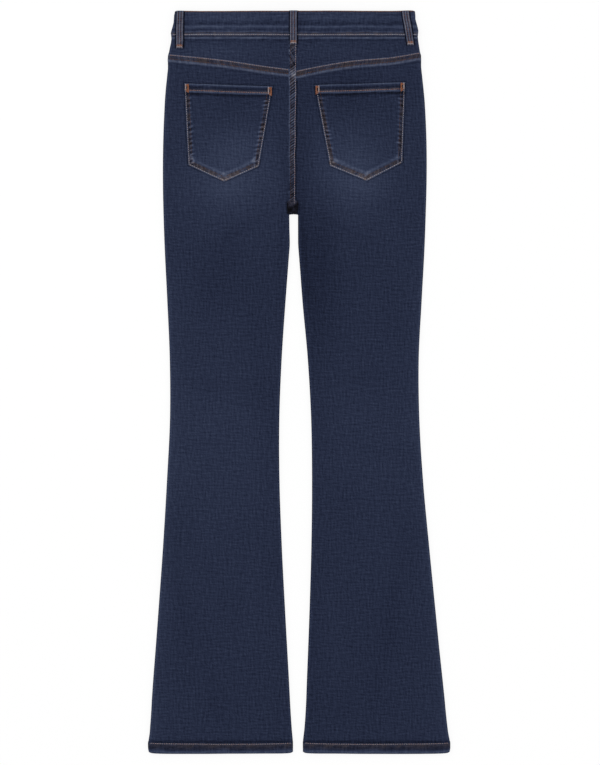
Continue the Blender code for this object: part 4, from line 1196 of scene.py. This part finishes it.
    # painted shadow on the strip round the pocket: darkest near its edge, a little paler further out
    shade = -11.0 * hump(nearest + 0.0009, 0.0009) + 4.0 * hump(nearest + 0.0026, 0.0008)
    tone = cloth + np.where(shadowStrip, shade, tone)
    return bed, outer, tone, np.where(shadowStrip, 0.0, np.clip(rust, 0.0, 1.2))


pockets = {side: pocketCorners("back_pocket_" + side) for side in ("left", "right")}


def backPocket(side):
    # columns run from the top edge down to the pointed end, crowded at every edge and carried on past it
    corners = pockets[side]
    order = ("topSide", "topCentre", "lowCentre", "tip", "lowSide")
    turn = -towardsSeat[side]
    grown = {}
    for count, name in enumerate(order):
        before, after = corners[order[count - 1]], corners[order[(count + 1) % 5]]
        first, second = (corners[name] - before), (after - corners[name])
        first, second = first / np.linalg.norm(first), second / np.linalg.norm(second)
        normals = [turn * np.array((run[1], -run[0])) for run in (first, second)]
        grown[name] = corners[name] + (normals[0] + normals[1]) / (1.0 + normals[0] @ normals[1]) * pocketLook["beside"]
    if grown["topSide"][1] < corners["topSide"][1]:
        grown = {name: 2.0 * corners[name] - place for name, place in grown.items()}
    close = np.array((0.0, 1.2, 2.0, 2.55, 2.78, 2.82, 2.95, 3.3, 3.8, 4.4, 5.0, 5.7, 6.5, 7.4, 8.4, 9.5, 10.6, 11.8, 13.0, 14.3, 15.8)) * 0.001
    width = np.linalg.norm(grown["topCentre"] - grown["topSide"])
    height = np.linalg.norm(grown["lowSide"] - grown["topSide"])
    u = np.concatenate((close / width, np.linspace(0.130, 0.49, 30), (0.5,), np.linspace(0.51, 0.870, 30), 1.0 - close[::-1] / width))
    v = np.concatenate((close / height, np.linspace(0.0170, 0.0240, 9) / height, np.linspace(0.155, 0.84, 74), 1.0 - close[::-1] / height))
    u = np.unique(np.round(u, 6))[None, :, None]
    v = np.unique(np.round(v, 6))[:, None, None]
    top = grown["topSide"] + (grown["topCentre"] - grown["topSide"]) * u
    first = grown["lowSide"] + (grown["tip"] - grown["lowSide"]) * 2.0 * u
    second = grown["tip"] + (grown["lowCentre"] - grown["tip"]) * (2.0 * u - 1.0)
    low = np.where(u < 0.5, first, second)
    along = np.where(u < 0.5, 2.0 * u, 2.0 * u - 1.0)
    low = low + np.array((0.0, -1.0)) * pocketLook["bow"] * 4.0 * along * (1.0 - along)
    grid = top + (low - top) * v
    x, drop = grid[..., 0], topY - grid[..., 1]
    bed, outer, tone, rust = pocketShape(side, x, drop)
    wall("backPocket_" + side, x, drop, outer, bed, tone, rust, "denim", node="back_pocket_" + side)


for side in ("left", "right"):
    backPocket(side)
print("back pockets made")

# hems
hemLook = {
    "wall": 0.0026,
    # mm below the hem's upper edge, level; the dark level at its very top is painted shadow
    "tone": ((0.0, 32), (0.6, 48), (1.3, 55), (2.4, 52), (3.4, 45), (5.0, 40), (7.0, 36), (9.0, 36), (10.6, 42), (12.0, 53), (13.4, 62), (14.6, 56), (16.0, 40)),
    "rust": ((0.0, 0.0), (1.4, 0.2), (3.2, 0.8), (6.0, 0.6), (9.0, 0.3), (11.0, 0.0), (16.0, 0.0)),
}


def hemLift(x, corner):  # how far the hem's upper line climbs towards the seams
    return 0.0012 * np.exp(-corner / 0.032) + 0.0012 * np.exp(-corner / 0.006) + 0.0002 * wobble(x, 0.04, 23)


def hem(face, side):
    fold = np.array((16.0, 15.92, 15.7, 15.3, 14.8, 14.2, 13.6)) * 0.001
    below = np.concatenate((np.array((0.0, 0.3)) * 0.001, np.linspace(0.0008, 0.0132, 22), fold[::-1]))[:, None]
    drop = hemTop + np.minimum(below, length - hemTop)
    x = edgeColumns(sideEdge(side, drop), innerEdge(side, drop), 150)
    corner = np.minimum(np.abs(x - x[:, :1]), np.abs(x - x[:, -1:]))
    rise = 0.0019 * np.exp(-corner / 0.0022) + 0.0014 * np.exp(-corner / 0.012) + 0.0003 * wobble(x, 0.05, 19)
    lift = hemLift(x, corner)
    drop = hemTop - lift + (drop - hemTop) * (1.0 + (lift - rise) / form["hemHeight"])
    seed = {"backleft": 401, "backright": 421, "frontleft": 441, "frontright": 461}[face + side]
    rope = wobble(x + 0.7 * below, 0.0072, seed) + 0.5 * wobble(x + below, 0.0031, seed + 1)
    patch = wobble(x, 0.016, seed + 2)
    if face == "back":
        outer = backSurface(x, drop)
        inner = backWall(x, drop, outer, hemLook["wall"])
        sign = 1.0
    else:
        outer = frontSurface(x, drop)
        inner = frontWall(x, drop, outer, hemLook["wall"])
        sign = -1.0
    outer = roundedTop(form["hemHeight"] - below, outer, inner)
    side_ = np.minimum(fromSides(x, drop), fromInner(x, drop))
    clear = ease(side_ / 0.004) * ease(below / 0.001)
    raised = 0.00022 * rope * hump(below - 0.007, 0.006) - 0.00030 * hump(below - 0.0013, 0.0008) + 0.0001 * patch
    outer = outer + sign * raised * clear
    outer = np.maximum(outer, inner + 0.0003) if face == "back" else np.maximum(np.minimum(outer, inner - 0.0003), 0.0)
    wander = below + 0.0006 * patch * ease(below / 0.004) * ease((0.016 - below) / 0.003)
    tone = profile(wander, hemLook["tone"]) + 5.0 * rope * hump(below - 0.0062, 0.0040) + 4.5 * wobble(x, 0.0048, seed + 3) * hump(below - 0.0130, 0.003)
    # pale patches, a paler line just inside each fold and painted shade on the fold's very edge
    tone = tone + 9.0 * np.clip(patch, 0.0, 1.0) * hump(below - 0.0085, 0.003) + 6.0 * hump(side_ - 0.0022, 0.0012) - 5.0 * hump(side_, 0.0008)
    rust = profile(wander, hemLook["rust"]) * (0.85 + 0.3 * rope)
    name = "hem" + face.capitalize() + "_" + side
    wall(name, x, drop, outer, inner, tone, np.clip(rust, 0.0, 1.2), "worn_denim", node=f"hem_{face}_{side}")


for side in ("left", "right"):
    hem("back", side)
    hem("front", side)
print("hems made")

# front pocket facings, fly and zip, on the underside
flyParts = {"facingWidth": 0.042, "wall": 0.0011, "zipHalf": 0.014, "zipStop": 0.008, "tape": 0.0008, "slider": 0.016,
            "sliderHeight": 0.0024, "shieldInner": 0.022, "shieldOuter": 0.030, "teeth": 62}


def pocketFacing(side):
    sign = towardsSeat[side]
    top = scoopTop(side)
    share = np.linspace(0.0, 1.0, 50)[:, None]
    columns = np.concatenate(((0.0, 0.004, 0.012, 0.025, 0.045), np.linspace(0.07, 1.0, 44)))
    reach = scoopOffset(top + scoop["depth"] * share, top) + scoop["facing"]
    offset = 0.0005 + (reach - 0.0005) * columns
    x = sideEdge(side, top) + sign * offset
    for _ in range(3):
        bottom = top + scoop["depth"] - 0.0015 + scoop["facingEnd"] * ease((offset - 0.008) / 0.020)
        drop = frontSeam(x) + (bottom - frontSeam(x)) * share
        x = sideEdge(side, drop) + sign * offset
    outer = underside(x, drop) + form["denim"] + form["bedGap"]
    tone = frontTone(x, drop) + 1.0
    behind = mouthDistance(x, drop, side)
    # painted shade on the facing just inside the pocket mouth, under the front panel's edge
    tone = tone - 9.0 * hump(behind + 0.001, 0.003) + 3.0 * mottle(x, drop, 0.02, 0.03, 501)
    wall("pocketFacing_" + side, x, drop, outer, outer + scoop["wall"], tone, 0.0, "denim", node="pocket_facing_" + side)


def flyFacing():
    share = np.linspace(0.0, 1.0, 60)[:, None]
    curve = np.clip((share - 0.7) / 0.3, 0.0, 1.0)
    width = 0.004 + (flyParts["facingWidth"] - 0.004) * np.sqrt(1.0 - curve * curve)
    x = seatLine - width + (width - form["gap"]) * np.linspace(0.0, 1.0, 20)
    drop = frontSeam(x) + (form["flyEnd"] - frontSeam(x)) * share
    outer = underside(x, drop) + form["denim"] + form["gap"]
    wall("flyFacing", x, drop, outer, outer + flyParts["wall"], 50.0 + 3.0 * mottle(x, drop, 0.01, 0.01, 511), 0.0, "denim_reverse", node="fly_facing")


def flyShield():
    share = np.linspace(0.0, 1.0, 60)[:, None]
    x = seatLine - flyParts["shieldOuter"] + (flyParts["shieldOuter"] + flyParts["shieldInner"]) * np.linspace(0.0, 1.0, 22)
    x = np.broadcast_to(x, (60, 22))
    drop = frontSeam(x) + (form["flyEnd"] - frontSeam(x)) * share
    outer = underside(x, drop) + form["denim"] + flyParts["wall"] + flyParts["sliderHeight"] + 3 * form["gap"]
    wall("flyShield", x, drop, outer, outer + form["denim"], 50.0 + 3.0 * mottle(x, drop, 0.01, 0.01, 512), 0.0, "denim_reverse", node="fly_shield")


def zipParts():
    # the tape with its two rows of teeth between the sides, and the slider at its top end
    base = form["denim"] + flyParts["wall"] + 2 * form["gap"]
    share = np.linspace(0.0, 1.0, 40)[:, None]
    x = np.broadcast_to(seatLine + flyParts["zipHalf"] * np.linspace(-1.0, 1.0, 9), (40, 9))
    start = frontSeam(x) + flyParts["slider"] + form["gap"]
    drop = start + (form["flyEnd"] - flyParts["zipStop"] - start) * share
    outer = underside(x, drop) + base
    wall("zipTape", x, drop, outer, outer + flyParts["tape"], 40.0, 0.0, "tape", node="zip_tape")
    count = np.arange(2 * flyParts["teeth"])
    first = frontSeam(seatLine) + flyParts["slider"] + 0.002
    pitch = (form["flyEnd"] - flyParts["zipStop"] - 0.003 - first) / len(count)
    down = first + pitch * count
    across = seatLine + np.where(count % 2 == 0, -0.0009, 0.0009)
    corner = np.array([(i, j, k) for k in (0, 1) for j in (-1, 1) for i in (-1, 1)], float)
    size = np.array((0.0019, pitch * 0.42, 0.0010))
    centre = put(across, down, underside(across, down) + base + flyParts["tape"] + 0.0001)
    points = centre[:, None, :] + corner * size
    box = np.array(((0, 2, 3, 1), (4, 5, 7, 6), (0, 1, 5, 4), (1, 3, 7, 5), (3, 2, 6, 7), (2, 0, 4, 6)))
    faces = (np.arange(len(count))[:, None, None] * 8 + box).reshape(-1, 4)
    meshFrom("zipTeeth", points, faces, {}, finishes["zip_metal"])
    u = np.linspace(0.0, 1.0, 30)[:, None]
    half = 0.004 * np.interp(u, (0.0, 0.06, 0.25, 0.75, 0.92, 1.0), (0.55, 0.88, 1.0, 0.85, 0.7, 0.5))
    x = seatLine + half * np.linspace(-1.0, 1.0, 15)
    drop = frontSeam(x) + flyParts["slider"] * u
    low = underside(x, drop) + base
    dome = np.sqrt(np.clip(1.0 - np.linspace(-1.0, 1.0, 15) ** 4, 0.05, 1.0)) * np.sqrt(np.clip(np.sin(np.pi * u), 0.05, 1.0))
    wall("zipSlider", x, drop, low + 0.0003, low + flyParts["sliderHeight"] * (0.35 + 0.65 * dome), 50.0, 0.0, "zip_metal", sheet=False, node="zip_slider")


def button():
    # a turned cap below: dished face with a raised ring and fine radial teeth, then its shank
    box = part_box("button")
    centre = ((box[0].x + box[1].x) / 2, (box[0].y + box[1].y) / 2)
    turn = np.linspace(0.0, 2 * np.pi, 97)[:-1]
    table = np.array(((0.01, 0.55), (1.4, 0.52), (2.6, 0.44), (3.4, 0.62), (4.0, 0.66), (4.6, 0.52), (5.6, 0.36), (6.5, 0.22), (7.3, 0.24), (8.0, 0.62),
                      (8.4, 1.1), (8.5, 1.5), (8.2, 1.95), (7.0, 2.05), (4.3, 2.1), (4.1, 2.6), (4.0, 3.9), (0.01, 3.9)))
    radius, height = table[:, 0, None] * 0.001, table[:, 1, None] * 0.001
    serration = 0.00006 * np.cos(32 * turn) * hump(radius - 0.0056, 0.0008)
    x = centre[0] + radius * np.cos(turn)
    y = centre[1] + radius * np.sin(turn)
    points = np.stack(np.broadcast_arrays(x, y, height + serration + box[0].z - 0.0002), axis=-1)
    rings, steps = points.shape[:2]
    index = np.arange(rings * steps).reshape(rings, steps)
    after = np.roll(index, -1, axis=1)
    faces = np.stack((index[:-1], after[:-1], after[1:], index[1:]), -1).reshape(-1, 4)
    mesh = bpy.data.meshes.new("buttonCap")
    mesh.from_pydata(points.reshape(-1, 3).tolist(), [], faces.tolist() + [index[0, ::-1].tolist(), index[-1].tolist()])
    if signedVolume(points.reshape(-1, 3), faces) < 0:
        mesh.flip_normals()
    mesh.shade_smooth()
    mesh.set_sharp_from_angle(angle=np.radians(40))
    mesh.materials.append(finishes["button_metal"])
    cap = bpy.data.objects.new("buttonCap", mesh)
    bpy.context.scene.collection.objects.link(cap)
    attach(cap, "root")
    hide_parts("button")


for side in ("left", "right"):
    pocketFacing(side)
flyFacing()
flyShield()
zipParts()
button()
print("fly and button made")

# stitches: each a short bowed thread with its ends sunk in the cloth, all of a run in one mesh
stitchLook = {"pitch": 0.0033, "length": 0.0026, "radius": 0.00034, "rise": 0.00030, "sink": 0.00022}
runsOfStitches = {"Back": [], "Front": []}


def stitchRun(group, points, rust, seed, pitch=None, cross=0.0, radius=None):
    # centres at every pitch along a path of points, each thread along it, or across it by a given length
    pitch = stitchLook["pitch"] if pitch is None else pitch
    radius = stitchLook["radius"] if radius is None else radius
    steps = np.linalg.norm(np.diff(points, axis=0), axis=1)
    along = np.concatenate(((0.0,), np.cumsum(steps)))
    count = max(int(along[-1] / pitch), 1)
    places = (np.arange(count) + 0.5) * along[-1] / count
    centre = np.stack([np.interp(places, along, points[:, k]) for k in range(3)], -1)
    ahead = np.stack([np.interp(places + 0.0006, along, points[:, k]) for k in range(3)], -1)
    behind = np.stack([np.interp(places - 0.0006, along, points[:, k]) for k in range(3)], -1)
    run = ahead - behind
    run = run / np.linalg.norm(run, axis=1, keepdims=True)
    up = np.broadcast_to((0.0, 0.0, 1.0 if group == "Back" else -1.0), run.shape)
    sideways = np.cross(up, run)
    sideways = sideways / np.linalg.norm(sideways, axis=1, keepdims=True)
    random = np.random.default_rng(seed)
    size = stitchLook["length"] * random.uniform(0.90, 1.06, count)
    if cross:
        run, sideways, size = sideways, run, np.full(count, cross) * random.uniform(0.9, 1.1, count)
    tilt = random.uniform(-0.10, 0.10, count)[:, None]
    run = run + sideways * tilt
    colour = np.clip(rust + random.uniform(-0.10, 0.10, count), 0.0, 1.0)
    runsOfStitches[group].append((centre, run, np.cross(run, up), up, size, np.full(count, radius), colour))


def sewn(group):
    # four rings along each thread, small and sunk at both ends, five sides round
    parts = [np.concatenate(values) for values in zip(*runsOfStitches[group])]
    centre, run, sideways, up, size, radius, colour = parts
    along = np.array((-0.5, -0.30, 0.30, 0.5))
    rise = np.array((-stitchLook["sink"], stitchLook["rise"] * 0.8, stitchLook["rise"] * 0.8, -stitchLook["sink"]))
    thickness = np.array((0.55, 1.0, 1.0, 0.55))
    turn = np.arange(5) * 2 * np.pi / 5 + np.pi / 2
    spine = centre[:, None, :] + run[:, None, :] * (along * size[:, None])[..., None] + up[:, None, :] * rise[None, :, None]
    ring = (sideways[:, None, None, :] * np.cos(turn)[None, None, :, None] + up[:, None, None, :] * np.sin(turn)[None, None, :, None])
    points = spine[:, :, None, :] + ring * (thickness * radius[:, None])[:, :, None, None]
    index = np.arange(20).reshape(4, 5)
    after = np.roll(index, -1, axis=1)
    quads = np.stack((index[:-1], after[:-1], after[1:], index[1:]), -1).reshape(-1, 4)
    first = np.arange(len(centre))[:, None, None] * 20
    quads = (first + quads).reshape(-1, 4)
    flat = points.reshape(-1, 3)
    if signedVolume(flat, quads) < 0:
        quads = quads[:, ::-1]
    ends = (first + np.array(((4, 3, 2, 1, 0), (15, 16, 17, 18, 19)))).reshape(-1, 5)
    mesh = bpy.data.meshes.new("topstitch" + group)
    mesh.from_pydata(flat.tolist(), [], quads.tolist() + ends.tolist())
    layer = mesh.attributes.new("rust", "FLOAT", "POINT")
    layer.data.foreach_set("value", np.repeat(colour, 20).astype(np.float32))
    mesh.shade_smooth()
    mesh.materials.append(finishes["thread"])
    piece = bpy.data.objects.new("topstitch" + group, mesh)
    bpy.context.scene.collection.objects.link(piece)
    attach(piece, "root")
    print(piece.name, len(centre), "stitches")


def line(start, end, steps=120):
    return start + (end - start) * np.linspace(0.0, 1.0, steps)


def backStitches():
    for below, seed, rust in ((0.0010, 601, 0.55), (0.0363, 602, 0.08)):
        x = line(sideEdge("left", below) + 0.003, sideEdge("right", below) - 0.003, 300)
        drop = np.full_like(x, below)
        outer = backSurface(x, drop, waistTotal(x, drop))
        z = roundedTop(drop, outer, backWall(x, drop, outer, form["waistWall"])) + waistLooks(drop, x, 121)[2]
        drop = sagged(x, drop)
        stitchRun("Back", put(x, drop, z), rust, seed)
    for side in ("left", "right"):
        sign = towardsSeat[side]
        for t, seed, rust in ((0.0019, 611, 0.24), (0.0076, 612, 0.90)):
            x = line(sideEdge(side, 0.068) + sign * 0.003, seatLine - sign * (0.0078 if side == "left" else 0.0046), 200)
            drop = yokeDrop(side, x) - 0.0006 + t
            z = backSurface(x, drop) + relief(x, drop, "back") + 0.0002 + felledSeam["raise"] - 0.00030
            stitchRun("Back", put(x, drop, z), rust, seed)
        corners = pockets[side]
        runs = (("topSide", "lowSide"), ("lowSide", "tip"), ("tip", "lowCentre"), ("lowCentre", "topCentre"))
        middle = sum(corners.values()) / 5
        for inset, seed, rust in ((0.0017, 621, 0.06), (0.0064, 622, 1.0)):
            for count, (a, b) in enumerate(runs):
                run = (corners[b] - corners[a]) / np.linalg.norm(corners[b] - corners[a])
                normal = np.array((-run[1], run[0]))
                normal = normal * np.sign(np.dot(normal, middle - corners[a]))
                start = corners[a] + normal * inset + run * inset * (0.9 if count else 1.0)
                end = corners[b] + normal * inset - run * inset * (0.9 if count < 3 else 1.0)
                share = np.linspace(0.0, 1.0, 90)[:, None]
                path = start + (end - start) * share - normal * pocketLook["bow"] * 4.0 * share * (1.0 - share) * (count in (1, 2))
                x, drop = path[:, 0], topY - path[:, 1]
                z = pocketShape(side, x, drop)[1]
                stitchRun("Back", put(x, drop, z - 0.00005), rust, seed + 10 * count)
        start, end = corners["topSide"], corners["topCentre"]
        run = (end - start) / np.linalg.norm(end - start)
        path = start + run * 0.002 + (end - start - run * 0.004) * np.linspace(0.0, 1.0, 120)[:, None]
        x, drop = path[:, 0], topY - path[:, 1] + 0.0103
        stitchRun("Back", put(x, drop, pocketShape(side, x, drop)[1]), 0.36, 651)
        for corner, inset in (("topSide", sign * 0.0044), ("topCentre", -sign * 0.0044)):
            for shift, rust, first, last in ((-0.0020, 0.14, 0.0012, 0.0112), (0.0017, 0.56, 0.0012, 0.0142), (-0.0004, 0.66, 0.0092, 0.0130), (-0.0002, 0.50, 0.0018, 0.0046)):
                x = np.full(30, corners[corner][0] + inset + sign * shift)
                drop = topY - corners[corner][1] + np.linspace(first, last, 30)
                stitchRun("Back", put(x, drop, pocketShape(side, x, drop)[1] + 0.00012), rust, 661, pitch=0.00072, cross=0.0023, radius=0.00036)
    for inset, seed, rust in ((seatSeam["left"] + 0.0026, 671, 1.0), (seatSeam["right"] - 0.0012, 672, 0.2)):
        drop = line(0.052, 0.288, 200)
        inset = inset + (0.0007 - 0.0016 * ease((drop - 0.060) / 0.21)) * (rust < 0.5)
        x = seatLine + inset + 0.0005 * wobble(drop, 0.024, 101)
        z = backSurface(x, drop) + 0.0002 + seatSeam["raise"] - 0.00035
        stitchRun("Back", put(x, drop, z), rust, seed)
    for side in ("left", "right"):
        below = 0.0014
        x = line(sideEdge(side, hemTop) - (0.003 if side == "right" else -0.003), innerEdge(side, np.array(hemTop)) + (0.003 if side == "right" else -0.003), 200)
        corner = np.minimum(np.abs(x - sideEdge(side, hemTop)), np.abs(x - innerEdge(side, np.array(hemTop))))
        drop = hemTop - hemLift(x, corner) + below
        z = backSurface(x, drop) - 0.00020
        stitchRun("Back", put(x, drop, z), 0.16, 681 if side == "left" else 682)


def loopStitches():
    for seed, (node, face) in enumerate((("belt_loop_back", "back"), ("belt_loop_side_left", "back"), ("belt_loop_side_right", "back"),
                                         ("belt_loop_front_left", "front"), ("belt_loop_front_right", "front"))):
        topX, bottomX, topDrop, bottomDrop, width = loopPath(node)
        group = "Back" if face == "back" else "Front"
        sign = 1.0 if face == "back" else -1.0
        for across in (-0.0023, 0.0017):
            s = np.linspace(0.002, bottomDrop - topDrop - 0.002, 80)
            x = topX + (bottomX - topX) * s / (bottomDrop - topDrop) + across
            drop = topDrop + s
            stitchRun(group, put(x, drop, loopHeight(x, drop, face) + sign * (loopLook["wall"] * 0.88 - 0.00012)), 0.85, 701 + seed)
        for place in (0.0033,):
            for shift, rust in ((-0.0011, 0.42), (0.0011, 0.16)):
                s = bottomDrop - topDrop - place + shift
                x = bottomX - (bottomX - topX) * place / (bottomDrop - topDrop) + np.linspace(-0.0041, 0.0041, 30)
                drop = np.full(30, topDrop + s)
                z = loopHeight(x, drop, face) + sign * (loopLook["wall"] * 0.9 + 0.0001)
                stitchRun(group, put(x, drop, z), rust, 731 + seed, pitch=0.00075, cross=0.0021, radius=0.00036)


def loopHeight(x, drop, face):
    if face == "front":
        return underside(x, drop) - form["bedGap"]
    below = ease((drop - form["waistband"] - loopLook["clear"]) / loopLook["ramp"])
    return backSurface(x, drop, waistTotal(x, drop) * (1.0 - below) + stack(x, drop) * below) + form["bedGap"]


def frontStitches():
    for side in ("left", "right"):
        sign = towardsSeat[side]
        end = seatLine + (tab["overlap"] - 0.002 if side == "left" else tab["overlap"] + 0.001)
        for below, seed in ((0.0016, 801), (0.0363, 802)):
            x = line(sideEdge(side, below) + sign * 0.003, end, 200)
            drop = below + frontTop(x)
            z = underside(x, drop) - waistLooks(np.full_like(x, below), x, 131 if side == "left" else 141)[2]
            stitchRun("Front", put(x, drop, np.maximum(z, 0.0004)), 0.12, seed)
        top = scoopTop(side)
        for inset, seed in ((0.0022, 811), (0.0082, 812)):
            angle = np.radians(np.linspace(3.0, 86.0, 120))
            down = top + (scoop["depth"] + inset) * np.sin(angle)
            x = sideEdge(side, down) + sign * (scoop["width"] + inset) * np.cos(angle)
            drop = down + (frontSeam(x) - top) * np.clip(1.0 - (down - top) / scoop["depth"], 0.0, 1.0)
            stitchRun("Front", put(x, drop, frontSurface(x, drop) + 0.0001), 0.16, seed)
        x = line(sideEdge(side, hemTop) + sign * 0.003, innerEdge(side, np.array(hemTop)) - sign * 0.003, 200)
        drop = np.full_like(x, hemTop + 0.0014)
        stitchRun("Front", put(x, drop, frontSurface(x, drop) + 0.00012), 0.16, 821)
    for inset, seed in ((0.0, 831), (0.0060, 832)):
        width, depth = fly["stitchWidth"] - inset, fly["stitchEnd"] - inset
        t = np.linspace(0.0, 1.0, 160)
        down = np.minimum(t / fly["bend"], 1.0)
        curve = np.clip((t - fly["bend"]) / (1.0 - fly["bend"]), 0.0, 1.0) * np.pi / 2
        x = seatLine - width * np.cos(curve)
        straight = frontSeam(seatLine - width) + 0.002 + (depth - 0.050 - frontSeam(seatLine - width)) * down
        drop = straight + 0.048 * np.sin(curve)
        stitchRun("Front", put(x, drop, frontSurface(x, drop) + 0.0001), 0.16, seed)
    for inset, seed in ((0.0020, 841), (0.0075, 842)):
        drop = line(0.060, 0.298, 160)
        x = np.full_like(drop, seatLine - inset)
        stitchRun("Front", put(x, drop, frontSurface(x, drop) + 0.0001), 0.16, seed)


backStitches()
loopStitches()
frontStitches()
sewn("Back")
sewn("Front")

# floor, light and camera
stage = {"world": 0.93, "key": 11.0, "fill": 4.5, "floor": (0.12, 0.12, 0.12), "glow": 0.86, "lens": 100.0, "view": 1.1414, "centre": (0.0013, -0.0004)}

mesh = bpy.data.meshes.new("floor")
mesh.from_pydata([(-3, -3, -0.0006), (3, -3, -0.0006), (3, 3, -0.0006), (-3, 3, -0.0006)], [], [(0, 1, 2, 3)])
floor = bpy.data.objects.new("floor", mesh)
bpy.context.scene.collection.objects.link(floor)
paper = bpy.data.materials.new("paleTable")  # a softly lit white table top
paper.use_nodes = True
nodes = paper.node_tree.nodes
nodes["Principled BSDF"].inputs["Base Color"].default_value = (*stage["floor"], 1.0)
nodes["Principled BSDF"].inputs["Roughness"].default_value = 0.9
nodes["Principled BSDF"].inputs["Emission Color"].default_value = (1.0, 1.0, 1.0, 1.0)
nodes["Principled BSDF"].inputs["Emission Strength"].default_value = stage["glow"]
mesh.materials.append(paper)

world = bpy.data.worlds.new("softbox")
world.use_nodes = True
world.node_tree.nodes["Background"].inputs["Color"].default_value = (1.0, 1.0, 1.0, 1.0)
world.node_tree.nodes["Background"].inputs["Strength"].default_value = stage["world"]
bpy.context.scene.world = world


def softLight(name, power, size, place):
    light = bpy.data.lights.new(name, "AREA")
    light.energy, light.shape, light.size = power, "DISK", size
    lamp = bpy.data.objects.new(name, light)
    lamp.location = place
    direction = -np.array(place)
    flat = float(np.hypot(direction[0], direction[1]))
    lamp.rotation_euler = (np.arctan2(flat, -direction[2]), 0.0, np.arctan2(direction[1], direction[0]) - np.pi / 2)
    bpy.context.scene.collection.objects.link(lamp)


softLight("keyLight", stage["key"], 1.2, (-1.5, 1.7, 1.9))
softLight("fillLight", stage["fill"], 1.6, (1.8, -1.2, 2.0))

camera = bpy.data.cameras.new("camera")
camera.lens, camera.sensor_fit, camera.sensor_width, camera.sensor_height = stage["lens"], "VERTICAL", 36.0, 36.0
eye = bpy.data.objects.new("camera", camera)
eye.location = (stage["centre"][0], stage["centre"][1], 0.008 + stage["view"] * stage["lens"] / 36.0)
bpy.context.scene.collection.objects.link(eye)
bpy.context.scene.camera = eye
bpy.context.scene.view_settings.view_transform = "Standard"
print("stage set")
